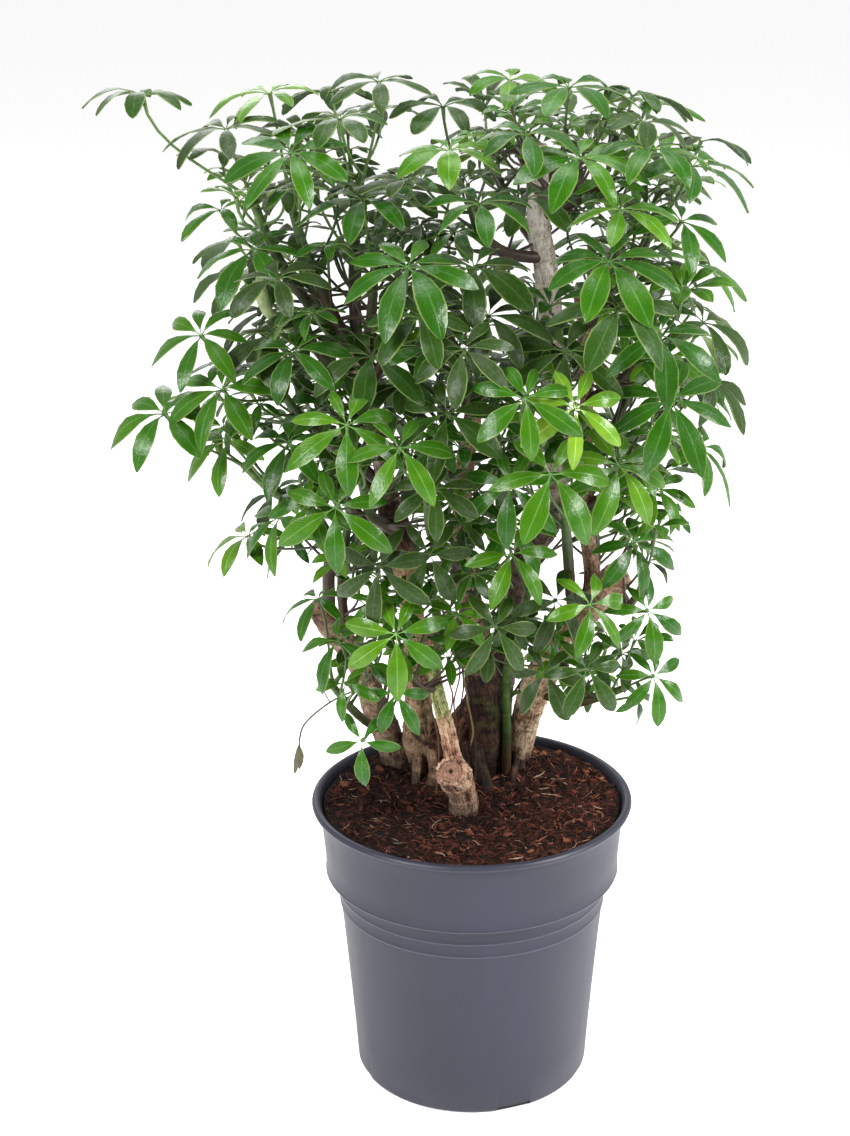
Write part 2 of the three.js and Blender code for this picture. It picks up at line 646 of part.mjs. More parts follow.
// Everything that already stands: what comes later is bent clear of it
const standing = [];
function stand(solid, owner) {
  standing.push({ solid, owner, box: solid.boundingBox() });
}

function isClear(solid, skipOwner) {
  const box = solid.boundingBox();
  return standing.every((other) => other.owner === skipOwner || !boxesMeet(box, other.box)
    || solid.intersect(other.solid).isEmpty());
}

// The spot on a stem where a leaf's petiole starts: about a petiole's length below the hub
function petioleRoot(stem, hub, taken) {
  const [lowest, highest, stride] = [0.3, 0.985, 0.04];
  const [nodeSpacing, crowdedCost, hangingCost] = [0.07, 30, 25];
  let best = null;
  for (let u = lowest; u <= highest; u += stride) {
    const spot = stem.getPointAt(u);
    const crowded = taken.some((t) => Math.abs(t - u) < nodeSpacing);
    const misfit = Math.abs(spot.distanceTo(hub) - petioleLength)
      + (crowded ? crowdedCost : 0) + (spot.z > hub.z ? hangingCost : 0);
    if (!best || misfit < best.misfit) best = { u, spot, misfit };
  }
  return best;
}

// A leaf is tried as it is meant, then turned, tilted, shifted and bowed further until it is clear
const tries = 70;
const mostTurn = 60;
const mostLean = 34;
const mostShift = { x: 16, y: 50, z: 16 };
const mostBow = 30;
const mostShrink = 0.25;
const leafGap = 0.45;

function growLeaf(entry, stem, taken, random, owner) {
  const [x, y, z, count] = entry;
  const reach = leafReach(entry);
  const width = reach < 50 ? 0.19 : 0.17;
  const { out, tilt } = leafFacing(entry);
  const jitter = Array.from({ length: 2 * count }, () => 2 * random() - 1);
  const root = petioleRoot(stem, new THREE.Vector3(x, y, z), taken);
  for (let i = 0; i < tries; i += 1) {
    const give = i / tries;
    const draw = () => (2 * random() - 1) * give;
    const turned = out.clone().applyAxisAngle(up, degrees(mostTurn) * draw());
    const leaning = degrees(tilt + mostLean * draw());
    const normal = up.clone().multiplyScalar(Math.cos(leaning));
    normal.addScaledVector(turned, Math.sin(leaning));
    const shrunk = reach * (1 - mostShrink * give);
    const leaf = {
      hub: new THREE.Vector3(
        x + mostShift.x * draw(), y + mostShift.y * draw(), z + mostShift.z * draw(),
      ),
      out: turned,
      normal,
      outline: leafOutline({ count, reach: shrunk, jitter, width, sag: leafSag(z) }),
      root: root.spot,
      bow: new THREE.Vector3(mostBow * draw(), mostBow * draw(), mostBow * (draw() - give) / 2),
    };
    const clear = isClear(leafSolid(leaf, { grow: leafGap }), owner)
      && isClear(leafSolid(leaf, { grow: leafGap, petiole: false }), null);
    if (clear) {
      taken.push(root.u);
      return leafSolid(leaf);
    }
  }
  return null;
}

function meshOf(name, solid, finish) {
  const material = new THREE.MeshStandardMaterial({ metalness: 0, ...finish });
  const mesh = new THREE.Mesh(geometryFrom(solid), material);
  mesh.name = name;
  return mesh;
}

const plant = new THREE.Group();

// Wood first: each trunk is cut clear of the ones before it
const holes = [];
woods.forEach(({ name, parts }, n) => {
  const make = (grow) => {
    const tubes = parts.map(({ path, ...shape }) => bentTube(path, { ...shape, phase: n, grow }));
    return tubes.reduce((a, b) => a.add(b));
  };
  const wood = standing.reduce((body, other) => body.subtract(other.grown ?? other.solid), make(0));
  const grown = make(touchGap);
  standing.push({ solid: largestBody(wood), grown, owner: name, box: grown.boundingBox() });
  holes.push(grown);
  plant.add(meshOf(name, largestBody(wood), paint.bark));
});

// Then every green stem, cut clear of the wood and of the stems before it
const stems = [
  ...shoots,
  ...backShoots.map(([name, spiral, stem]) => ({ name, spiral, stem })),
].map((shoot, n) => {
  const shape = { sides: 5, steps: shoot.stem.length - 1, phase: n };
  const grown = bentTube(shoot.stem, { ...shape, grow: touchGap });
  const bare = standing.reduce(
    (body, other) => (boxesMeet(grown.boundingBox(), other.box) ? body.subtract(other.grown) : body),
    bentTube(shoot.stem, shape),
  );
  const solid = largestBody(bare);
  if (shoot.stem[0][2] === buriedEnd) holes.push(grown);
  standing.push({ solid, grown, owner: shoot.name, box: grown.boundingBox() });
  const stations = shoot.stem.map(([x, y, z]) => new THREE.Vector3(x, y, z));
  const line = new THREE.CatmullRomCurve3(stations, false, 'centripetal');
  return { ...shoot, solid, line };
});

// The spiral of a shoot behind: leaves at even turns of the growth angle round its upper end
function spiralLeaves({ spiral, line }, random) {
  const tip = line.getPointAt(1);
  const facing = THREE.MathUtils.radToDeg(Math.atan2(tip.x - crownAxis.x, crownAxis.y - tip.y));
  const [turnStep, turnSpread, stemStep] = [75, 20, 0.2];
  return Array.from({ length: spiral }, (_, i) => {
    const turn = (i - (spiral - 1) / 2) * turnStep + turnSpread * (random() - 0.5);
    const way = degrees(facing + turn);
    const from = line.getPointAt(1 - stemStep * i);
    const spread = petioleLength * (0.72 + 0.2 * random());
    const rise = petioleLength * (0.65 - 0.25 * i + 0.1 * random());
    const hub = [from.x + Math.sin(way) * spread, from.y - Math.cos(way) * spread, from.z + rise];
    return [...hub, backLeaflets];
  });
}

// Then the leaves, front shoots first
const random = seededRandom(7);
stems.forEach((shoot) => {
  const taken = [];
  const entries = shoot.leaves ?? spiralLeaves(shoot, random);
  const leaves = entries.map((entry) => {
    const leaf = growLeaf(entry, shoot.line, taken, random, shoot.name);
    if (leaf) stand(leaf, `${shoot.name} leaf`);
    return leaf;
  }).filter(Boolean);
  const body = largestBody(leaves.reduce((a, b) => a.add(b), shoot.solid));
  const mesh = meshOf(shoot.name, body, paint.leaf);
  mesh.userData.leaves = leaves.length;
  plant.add(mesh);
});

plant.add(meshOf('pot', makePot(), paint.pot));
plant.add(meshOf('soil', largestBody(makeSoil(holes)), paint.soil));

export default plant;
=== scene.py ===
# A potted umbrella plant (Schefflera arboricola): old cut trunks and leafy green shoots in a slate grey
# grower pot. Metres, +Z up, the origin is the centre of the pot's base and the front looks along -Y.

import math
import random

import bmesh
import bpy
from mathutils import Matrix, Vector, geometry, noise
from mathutils.bvhtree import BVHTree


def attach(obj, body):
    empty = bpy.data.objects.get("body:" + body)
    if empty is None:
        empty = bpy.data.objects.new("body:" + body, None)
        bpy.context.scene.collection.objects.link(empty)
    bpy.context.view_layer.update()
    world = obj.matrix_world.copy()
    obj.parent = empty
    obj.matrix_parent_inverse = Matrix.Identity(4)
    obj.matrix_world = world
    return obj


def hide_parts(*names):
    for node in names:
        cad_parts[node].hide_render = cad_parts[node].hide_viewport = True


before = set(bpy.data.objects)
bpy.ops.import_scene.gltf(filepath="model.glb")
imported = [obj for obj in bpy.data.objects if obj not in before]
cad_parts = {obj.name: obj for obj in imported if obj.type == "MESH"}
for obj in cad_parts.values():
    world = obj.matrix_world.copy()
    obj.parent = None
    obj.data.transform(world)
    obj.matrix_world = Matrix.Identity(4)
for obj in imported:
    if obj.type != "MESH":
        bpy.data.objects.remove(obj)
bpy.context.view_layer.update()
mm = 0.001
upward = Vector((0, 0, 1))

camera = {
    "place": (0, -1.6, 1.015),
    "pitch": 19.4,  # degrees below level
    "lens": 66.14,
    "sensor": 36,
    "shiftX": -0.0412,
    "sight": 500,  # how far it sees, in metres: past the floor's edge
}

studio = {
    # the light from all round: weaker on the camera's side, stronger behind
    "frontGlow": 0.13,
    "backGlow": 0.78,
    "sheetGlow": 0.92,
    "horizon": (0.03, 0.09),  # how steep a ray is where the sheet's white starts to fade and is gone
    "floor": ("#f6f6f5", "#f7f7f7"),
    "floorRadius": 300,
    "floorGlow": 0.42,  # a sheet lit from below, as for product photographs
    # each lamp: its place, the spot it looks at, its width in metres and its power in watts
    "lamps": {
        "keyLeft": ((-1.7, -1.7, 1.9), (0, 0, 0.45), 1.3, 84),
        "keyRight": ((1.9, -0.9, 1.6), (0, 0, 0.4), 1.1, 84),
        "topSoft": ((0.1, 0.2, 2.6), (0, 0, 0.5), 1.4, 26),
        "backRim": ((-0.6, 2.1, 1.6), (0, 0, 0.6), 1.2, 10),
    },
}


def toLinear(hexColour):  # an sRGB hex colour as the linear values that the shaders read
    parts = [int(hexColour[i : i + 2], 16) / 255 for i in (1, 3, 5)]
    return [*(c / 12.92 if c <= 0.04045 else ((c + 0.055) / 1.055) ** 2.4 for c in parts), 1]


def fill(tree, sockets, values):  # links or sets sockets, by their names or in their order
    for socket, value in values.items() if isinstance(values, dict) else enumerate(values):
        if isinstance(value, bpy.types.NodeSocket):
            tree.links.new(value, sockets[socket])
        else:
            sockets[socket].default_value = value


def addNode(tree, kind, inputs=(), stops=None, out=0, **settings):  # gives one output of the new node
    node = tree.nodes.new("ShaderNode" + kind)
    for name, value in settings.items():
        setattr(node, name, value)
    fill(tree, node.inputs, inputs)
    if stops:
        ramp = node.color_ramp.elements
        while len(ramp) < len(stops):
            ramp.new(0.5)
        for element, (place, colour) in zip(ramp, sorted(stops)):
            element.position = place
            element.color = toLinear(colour)
    return node.outputs[out]


def newMaterial(name):
    material = bpy.data.materials.new(name)
    material.use_nodes = True
    tree = material.node_tree
    return material, tree, tree.nodes["Principled BSDF"].inputs


def setUpView():
    data = bpy.data.cameras.new("camera")
    data.lens = camera["lens"]
    data.sensor_width = camera["sensor"]
    data.shift_x = camera["shiftX"]
    data.clip_end = camera["sight"]
    eye = bpy.data.objects.new("camera", data)
    eye.location = camera["place"]
    eye.rotation_euler = (math.radians(90 - camera["pitch"]), 0, 0)
    bpy.context.scene.collection.objects.link(eye)
    bpy.context.scene.camera = eye
    bpy.context.scene.view_settings.view_transform = "Standard"

    for name, (place, target, width, power) in studio["lamps"].items():
        lamp = bpy.data.lights.new(name, "AREA")
        lamp.shape = "DISK"
        lamp.size = width
        lamp.energy = power
        holder = bpy.data.objects.new(name, lamp)
        holder.location = place
        holder.rotation_euler = (Vector(target) - Vector(place)).to_track_quat("-Z", "Y").to_euler()
        bpy.context.scene.collection.objects.link(holder)

    world = bpy.data.worlds.new("studioWorld")
    bpy.context.scene.world = world
    world.use_nodes = True
    tree = world.node_tree
    towards = addNode(tree, "TexCoord", out="Generated")
    sideways = addNode(tree, "SeparateXYZ", (towards,), out="Y")
    rising = addNode(tree, "SeparateXYZ", (towards,), out="Z")
    glow = addNode(tree, "MapRange", (sideways, -0.8, 0.3, studio["frontGlow"], studio["backGlow"]))
    # the sheet stays white up to a few degrees over the horizon
    steep = addNode(tree, "Math", (rising,), operation="ABSOLUTE")
    white, gone = studio["horizon"]
    sheet = addNode(tree, "MapRange", (steep, white, gone, 1.0, 0.0))
    glow = addNode(tree, "Mix", {0: sheet, 2: glow, 3: studio["sheetGlow"]})
    backdrop = tree.nodes["Background"].inputs
    fill(tree, backdrop, {"Color": (1, 1, 1, 1), "Strength": glow})

    bm = bmesh.new()
    bmesh.ops.create_circle(bm, cap_ends=True, segments=96, radius=studio["floorRadius"])
    floor = finishPiece("floor", bm, [floorMaterial()], smooth=False)


def toMesh(name, bm):
    mesh = bpy.data.meshes.new(name)
    bm.to_mesh(mesh)
    bm.free()
    return mesh


def finishPiece(name, bm, materials, smooth=True, replaced=(), slot=None):
    mesh = toMesh(name, bm)
    if smooth:
        mesh.shade_smooth()
    piece = bpy.data.objects.new(name, mesh)
    for material in materials:
        mesh.materials.append(material)
    bpy.context.scene.collection.objects.link(piece)
    if slot:
        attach(piece, "root")
    if replaced:
        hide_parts(*replaced)
    return piece


def floorMaterial():  # matt paper sweep
    material, tree, surface = newMaterial("mattPaperSweep")
    spot = addNode(tree, "TexCoord", out="Object")
    # clouds in the paper, half a metre wide
    clouds = addNode(tree, "TexNoise", {"Vector": spot, "Scale": 2.0})
    tint = addNode(tree, "ValToRGB", (clouds,), stops=[(0.3, studio["floor"][0]), (0.7, studio["floor"][1])])
    fill(
        tree, surface,
        {
            "Base Color": tint, "Roughness": 0.9, "Specular IOR Level": 0.1, "Emission Color": (1, 1, 1, 1),
            "Emission Strength": studio["floorGlow"],
        },
    )
    return material


# The lines of the trunks and the stems, in millimetres: x, y, z and the radius there
woodLines = {
    "front_stub": [
        [(-7, -8, 205, 14), (-7, -12, 240, 13.5), (-9, -18, 262, 12.5), (-14, -30, 280, 13.2),
         (-17, -39, 288, 12.4)],
        [(-12, -20, 275, 8), (-17, -18, 298, 6.8), (-21, -15, 318, 6), (-30, -12, 354, 5.6),
         (-32, -13, 388, 6.2), (-35, -17, 398, 5.4)],
    ],
    "right_trunk": [
        [(37, 76, 205, 7.2), (38, 70, 240, 7.2), (40, 64, 256, 8), (41, 62, 261, 11.2), (42, 60, 267, 10.7),
         (46, 52, 294, 12.4), (54, 38, 330, 13.5), (69, 22, 366, 12), (89, 7, 404, 11.2),
         (104, -6, 430, 13.5), (116, -20, 450, 12.5)],
        [(96, 0, 414, 8), (98, 4, 448, 6.5), (92, 5, 491, 6), (91, 6, 560, 5.6), (91, 5, 620, 5.4),
         (88, 3, 664, 7.5), (86, 1, 674, 7)],
    ],
    "centre_trunk": [
        [(12, 64, 205, 16), (13, 61, 245, 16), (11, 45, 309, 14.5), (5, 36, 366, 12), (-3, 30, 422, 9.5),
         (-8, 25, 471, 8), (-4, 20, 545, 7), (4, 15, 592, 7)],
        [(3, 48, 296, 6), (6, 36, 264, 5.8), (14, 22, 242, 5.4), (19, 14, 212, 5)],
    ],
    "mid_left_trunk": [
        [(-38, 88, 205, 15), (-41, 78, 245, 16), (-45, 62, 275, 15), (-46, 48, 315, 11),
         (-48, 36, 366, 9.5), (-52, 26, 425, 9), (-62, 17, 478, 12.5), (-65, 14, 494, 11.5),
         (-68, 10, 514, 7.5), (-76, 5, 558, 7), (-84, 0, 600, 6.8), (-93, 0, 636, 6.8)],
        [(-43, 62, 274, 5), (-47, 50, 258, 4.2), (-48, 42, 240, 4), (-47, 36, 214, 3.6)],
        [(-35, 56, 268, 5), (-33, 42, 250, 4.2), (-36, 28, 238, 4), (-38, 20, 214, 3.6)],
    ],
    "left_trunk": [
        [(-64, 78, 205, 11), (-67, 78, 245, 12.5), (-75, 72, 276, 12.5), (-84, 60, 306, 11),
         (-93, 40, 346, 10), (-105, 22, 376, 10), (-115, 10, 396, 11), (-124, -1, 417, 10.5)],
    ],
    "tall_trunk": [
        [(20, 102, 205, 12), (21, 99, 245, 12), (26, 84, 319, 11.5), (36, 62, 399, 11), (47, 45, 449, 11),
         (64, 34, 484, 11), (69, 30, 530, 10), (67, 30, 590, 9.5), (60, 30, 680, 9.5), (53, 30, 722, 9.2),
         (50, 30, 786, 8.4)],
    ],
}
stemLines = {
    "shoot_tip_left": [(-90, 0, 622, 5), (-122, 8, 660, 4.6), (-150, 2, 705, 4.2), (-168, -5, 752, 3.4)],
    "shoot_left_crown": [(-92, 0, 630, 5), (-112, -8, 672, 4.6), (-128, -14, 715, 4), (-138, -14, 752, 3.2)],
    "shoot_left_top": [(-90, 2, 634, 5), (-92, 12, 680, 4.6), (-90, 14, 730, 4), (-85, 12, 768, 3.2)],
    "shoot_left_inner": [(-86, -2, 612, 4.6), (-78, -16, 660, 4.2), (-74, -22, 705, 3.2)],
    "shoot_left_bank": [(-80, 1, 582, 4.8), (-103, -8, 612, 4.4), (-122, -16, 640, 3.8),
        (-130, -20, 664, 3.2)],
    "shoot_left_front": [(-74, 6, 552, 4.6), (-84, -20, 580, 4.2), (-90, -38, 610, 3.2)],
    "shoot_left_reach": [(-68, 10, 516, 5), (-102, 2, 548, 4.6), (-134, -8, 580, 4), (-152, -16, 608, 3.2)],
    "shoot_centre_crown": [(-84, -2, 598, 4.6), (-68, -36, 632, 4.2), (-55, -58, 656, 3.2)],
    "shoot_left_low": [(-117, 6, 402, 5.4), (-117, 4, 440, 5.2), (-116, 6, 472, 5), (-132, 6, 500, 4.8),
        (-158, -2, 517, 4.4), (-180, -18, 544, 3.4)],
    "shoot_left_middle": [(-72, 12, 470, 4.8), (-95, -8, 505, 4.4), (-112, -22, 535, 3.4)],
    "shoot_front_left": [(-62, 12, 480, 5), (-70, -22, 496, 4.6), (-80, -52, 516, 4), (-84, -72, 545, 3.2)],
    "shoot_front_middle": [(-3, 28, 425, 5.4), (-20, -8, 462, 5), (-32, -42, 498, 4.6), (-34, -68, 535, 3.4)],
    "shoot_low_left": [(-74, 66, 286, 4), (-80, 24, 300, 3.8), (-96, -14, 330, 3.6), (-116, -34, 366, 3)],
    "shoot_stub_left": [(-30, -12, 350, 3.4), (-42, -34, 362, 3.2), (-52, -52, 382, 2.8)],
    "shoot_stub_top": [(-30, -12, 378, 3.6), (-18, -24, 402, 3.4), (0, -34, 436, 3.2), (14, -48, 470, 2.8)],
    "shoot_right_green": [(86, 8, 398, 4.8), (80, -14, 436, 4.6), (76, -30, 480, 4.4), (72, -48, 520, 3.4)],
    "shoot_right_low": [(60, 34, 326, 4), (84, 6, 330, 3.8), (104, -20, 346, 3.6), (124, -42, 364, 3)],
    "shoot_right_front": [(75, 18, 370, 4), (76, -14, 372, 3.8), (75, -46, 382, 3)],
    "shoot_right_knob": [(106, -6, 428, 4.2), (122, -26, 424, 4), (130, -40, 440, 3)],
    "shoot_right_middle": [(91, 6, 500, 4.8), (118, -14, 526, 4.4), (140, -32, 560, 3.4)],
    "shoot_right_upper": [(91, 5, 590, 4.6), (116, -16, 612, 4.2), (134, -36, 640, 3.2)],
    "shoot_right_crown": [(88, 4, 652, 4.6), (94, -34, 664, 4.2), (98, -58, 684, 3.2)],
    "shoot_centre_front": [(67, 28, 552, 4.8), (62, -18, 562, 4.6), (56, -56, 572, 4), (52, -80, 592, 3.2)],
    "shoot_centre_dark": [(2, 16, 578, 4.6), (-4, -26, 594, 4.2), (-4, -58, 618, 3.8), (0, -66, 648, 3)],
    "shoot_top_right": [(52, 30, 732, 4.8), (82, 12, 748, 4.4), (106, -12, 768, 3.4)],
    "shoot_far_right": [(88, 3, 662, 5), (112, -8, 688, 4.6), (130, -20, 716, 4), (136, -26, 738, 3.2)],
    "shoot_top_front": [(51, 28, 752, 4.6), (64, -10, 756, 4.2), (74, -36, 768, 3.2)],
    "shoot_top_centre": [(50, 28, 768, 4.4), (42, 2, 776, 4), (34, -16, 792, 3)],
    "shoot_top_middle": [(56, 28, 700, 4.8), (26, 8, 708, 4.6), (6, -10, 728, 4.2), (-2, -22, 760, 3.2)],
    "shoot_from_soil": [(30, 47, 205, 4), (30, 46, 250, 4), (30, 41, 290, 4), (30, 30, 350, 3.8),
        (40, 5, 400, 3.8), (46, -20, 440, 3)],
    "shoot_back_left_top": [(-92, 2, 628, 4.8), (-92, 45, 690, 4.2), (-95, 80, 748, 3.2)],
    "shoot_back_left_high": [(-84, 2, 596, 4.8), (-115, 50, 640, 4.2), (-140, 85, 690, 3.2)],
    "shoot_back_left_middle": [(-66, 14, 500, 4.8), (-98, 52, 520, 4.2), (-135, 88, 560, 3.2)],
    "shoot_back_left_low": [(-104, 22, 376, 4.6), (-110, 60, 418, 4), (-104, 92, 470, 3.2)],
    "shoot_back_middle_low": [(-47, 46, 330, 4.4), (-54, 90, 370, 4), (-62, 118, 420, 3.2)],
    "shoot_back_middle": [(-7, 26, 468, 4.6), (-16, 72, 505, 4.2), (-24, 108, 560, 3.2)],
    "shoot_back_centre": [(2, 16, 584, 4.6), (-18, 58, 630, 4.2), (-34, 88, 690, 3.2)],
    "shoot_back_right_low": [(42, 56, 412, 4.6), (58, 94, 430, 4.2), (72, 120, 480, 3.2)],
    "shoot_back_right_side": [(93, 6, 408, 4.4), (104, 50, 440, 4), (100, 92, 492, 3.2)],
    "shoot_back_right_middle": [(92, 6, 530, 4.6), (118, 48, 560, 4.2), (138, 84, 610, 3.2)],
    "shoot_back_tall": [(68, 30, 560, 4.6), (60, 78, 590, 4.2), (46, 112, 640, 3.2)],
    "shoot_back_right_top": [(90, 5, 645, 4.6), (114, 46, 690, 4.2), (126, 72, 736, 3.2)],
    "shoot_back_centre_top": [(55, 30, 704, 4.6), (34, 68, 730, 4.2), (16, 92, 762, 3.2)],
    "shoot_back_top": [(50, 32, 760, 4.4), (64, 54, 760, 4), (76, 74, 764, 3)],
}


def between(value, low, high):  # how far a value is from low to high, as a share from 0 to 1
    return min(1, max(0, (value - low) / (high - low)))


def smoothLine(stations, spacing):  # a smooth line through stations in millimetres, and its radii
    marks = [Vector(s[:3]) * mm for s in stations]
    ends = [2 * marks[0] - marks[1], *marks, 2 * marks[-1] - marks[-2]]
    fine = []
    for i in range(len(marks) - 1):
        before, start, end, after = ends[i : i + 4]
        gaps = [(b - a).length ** 0.5 for a, b in ((before, start), (start, end), (end, after))]
        leaving = (start - before) / gaps[0] - (end - before) / (gaps[0] + gaps[1])
        leaving = (leaving + (end - start) / gaps[1]) * gaps[1]
        coming = (end - start) / gaps[1] - (after - start) / (gaps[1] + gaps[2])
        coming = (coming + (after - end) / gaps[2]) * gaps[1]
        steps = 24
        bend = geometry.interpolate_bezier(start, start + leaving / 3, end - coming / 3, end, steps)
        for k, spot in enumerate(bend[: steps - 1]):
            share = k / (steps - 1)
            fine.append((spot, ((1 - share) * stations[i][3] + share * stations[i + 1][3]) * mm))
    fine.append((marks[-1], stations[-1][3] * mm))
    return resample(fine, spacing)


def resample(fine, spacing):  # the same line at even steps
    reach = [0]
    for (a, _), (b, _) in zip(fine, fine[1:]):
        reach.append(reach[-1] + (b - a).length)
    count = max(3, round(reach[-1] / spacing) + 1)
    spots, radii, at = [], [], 0
    for n in range(count):
        along = reach[-1] * n / (count - 1)
        while at < len(reach) - 2 and reach[at + 1] < along:
            at += 1
        share = min(1, max(0, (along - reach[at]) / max(reach[at + 1] - reach[at], 1e-9)))
        spots.append(fine[at][0].lerp(fine[at + 1][0], share))
        radii.append((1 - share) * fine[at][1] + share * fine[at + 1][1])
    return spots, radii


def ringFrames(spots):  # two directions across the line at each spot, carried along without twist
    frames = []
    side = None
    for i in range(len(spots)):
        ahead = (spots[min(i + 1, len(spots) - 1)] - spots[max(i - 1, 0)]).normalized()
        side = ahead.orthogonal().normalized() if side is None else side
        side = (side - ahead * side.dot(ahead)).normalized()
        frames.append((side, ahead.cross(side)))
    return frames


tubes = {}  # unit tubes, by sides and rings


def unitTube(sides, rings):
    if (sides, rings) not in tubes:
        bm = bmesh.new()
        bmesh.ops.create_cone(
            bm, cap_ends=True, cap_tris=False, segments=sides, radius1=1, radius2=1, depth=1
        )
        upright = [e for e in bm.edges if abs(e.verts[0].co.z - e.verts[1].co.z) > 0.5]
        bmesh.ops.subdivide_edges(bm, edges=upright, cuts=rings - 2, use_grid_fill=True)
        for face in bm.faces:
            face.smooth = True
        tubes[sides, rings] = toMesh("unitTube", bm)
    return tubes[sides, rings]


def addCopy(bm, mesh):  # a mesh added to a bmesh, as its new vertices and faces
    verts, faces = len(bm.verts), len(bm.faces)
    bm.from_mesh(mesh)
    return list(bm.verts)[verts:], list(bm.faces)[faces:]


def growTube(bm, spots, radii, sides, slot=0, relief=None, cutShares=None, capRings=0):
    # relief gives how far the surface stands out at a distance along and an angle; the barkSpot of a
    # vertex is its place on the unrolled bark, in metres
    layer = bm.verts.layers.float_vector["barkSpot"]
    cut = bm.verts.layers.float["cutShare"]
    outward = bm.verts.layers.float["barkOut"]
    body = len(spots) - capRings
    frames = ringFrames(spots[:body])
    frames += frames[-1:] * capRings
    reach = [0.0]
    for a, b in zip(spots, spots[1:]):
        reach.append(reach[-1] + (b - a).length)
    verts, faces = addCopy(bm, unitTube(sides, len(spots)))
    girth = sum(radii) / len(radii)
    for vert in verts:
        ring = round((vert.co.z + 0.5) * (len(spots) - 1))
        turn = math.atan2(vert.co.y, vert.co.x)
        across = frames[ring][0] * math.cos(turn) + frames[ring][1] * math.sin(turn)
        out = relief(reach[ring], turn, radii[ring]) if relief else 0
        vert.co = spots[ring] + across * (radii[ring] + out)
        vert[outward] = out / mm
        vert[layer] = (girth * math.cos(turn), girth * math.sin(turn), reach[ring])
        vert[cut] = cutShares[ring] if cutShares else 2
    for face in faces:
        face.material_index = slot


def withLayers(bm):  # the vertex values that the bark, stem and leaf materials read
    bm.verts.layers.float_vector.new("barkSpot")
    bm.verts.layers.float.new("cutShare")
    bm.verts.layers.float.new("barkOut")
    bm.verts.layers.float_vector.new("bladeSpot")
    bm.verts.layers.float.new("leafTone")
    return bm


pot = {
    # radius and height of the moulded wall in millimetres, from the middle of the floor outwards
    "outside": [
        (0, 0), (60, 0), (94, 0.2), (98, 1.4), (99.6, 4.5), (101.6, 34), (104.8, 74), (109.9, 133),
        (112.1, 155.1), (112.9, 155.9), (113.1, 156.6), (112.9, 157.4), (112.4, 158.4), (113.1, 167.3),
        (113.9, 168), (114.1, 168.7), (113.9, 169.4), (113.4, 170.4), (114.2, 178), (114.9, 180.6),
        (117.4, 182.2), (121.6, 183.8), (123.3, 184.5), (124.2, 185.2), (124.5, 186), (124.2, 186.9),
        (123.9, 187.8), (124.3, 201), (126.6, 226), (127.8, 240.6), (128.5, 242.6), (130.6, 243),
        (132.8, 243.5), (134.3, 245), (134.9, 246.8), (134.3, 248.6), (132.8, 249.8), (131.2, 250),
        (129.4, 249.3), (127.9, 247.6),
    ],
    "inside": [
        (126.5, 243), (125.1, 237), (124, 225), (121.9, 191), (121.2, 187), (112.6, 181), (111.6, 176),
        (107, 120), (97.4, 8), (95, 3.6), (60, 3), (0, 3),
    ],
    "segments": 176,
    "notches": {"count": 4, "width": 30, "height": 5.5, "depth": 3.5, "turn": 21, "radius": 99.5,
                "rounding": 1.6},
    "main": "#2a2a36",
    "light": "#2f303d",
    # a painted highlight: the pale line along both rings and the collar's lip, where their beads catch the
    # light
    "highlightColour": "#4a4a57",
    "highlightAt": (156.6, 168.7, 185.5),  # the heights of both rings and of the collar's lip
    # a painted shadow inside the drainage slots
    "slotShadow": "#0b0a0b",
}


def potMaterial():  # moulded polypropylene, slate grey: even, satin, with a faint flow in the colour
    material, tree, surface = newMaterial("mouldedPolypropyleneSlate")
    spot = addNode(tree, "TexCoord", out="Object")
    # long soft streaks, 40 mm wide, from the flow of the plastic
    stretched = addNode(tree, "Mapping", {"Vector": spot, "Scale": (1, 1, 0.15)})
    flow = addNode(tree, "TexNoise", {"Vector": stretched, "Scale": 25.0, "Detail": 3.0})
    tint = addNode(tree, "ValToRGB", (flow,), stops=[(0.3, pot["main"]), (0.75, pot["light"])])
    # painted highlight: both rings and the lip carry a paler line 1.6 mm wide where their beads catch the
    # light; the ramp runs from 150 mm up to 190 mm
    height = addNode(tree, "SeparateXYZ", (spot,), out="Z")
    along = addNode(tree, "MapRange", (height, 0.15, 0.19))
    highlightLine = addNode(
        tree, "ValToRGB", (along,),
        stops=[((z + away - 150) / 40, colour) for z in pot["highlightAt"]
               for away, colour in ((-0.8, "#000000"), (0, "#ffffff"), (0.8, "#000000"))],
    )
    # painted shadow: the insides of the drainage slots are darkened below 6 mm and within 97.5 mm of the axis
    flat = addNode(tree, "Mapping", {"Vector": spot, "Scale": (1, 1, 0)})
    fromAxis = addNode(tree, "VectorMath", (flat,), operation="LENGTH", out="Value")
    within, below = (
        addNode(tree, "MapRange", (value, low, high, 1.0, 0.0))
        for value, low, high in ((fromAxis, 0.0972, 0.0978), (height, 0.0058, 0.0062))
    )
    inSlot = addNode(tree, "Math", (within, below), operation="MULTIPLY")
    skin = tint
    for share, over in ((highlightLine, "highlightColour"), (inSlot, "slotShadow")):
        skin = addNode(tree, "Mix", {0: share, 6: skin, 7: toLinear(pot[over])}, data_type="RGBA", out=2)
    # fine moulding grit, drawn at 0.6 mm so that it shows
    grit = addNode(tree, "TexNoise", {"Vector": spot, "Scale": 1600.0, "Detail": 2.0})
    bump = addNode(tree, "Bump", {"Height": grit, "Strength": 0.06, "Distance": 0.0004})
    sheen = addNode(tree, "MapRange", (flow, 0.3, 0.7, 0.36, 0.5))
    fill(
        tree, surface,
        {"Base Color": skin, "Roughness": sheen, "Normal": bump, "IOR": 1.49, "Specular IOR Level": 0.32},
    )
    return material


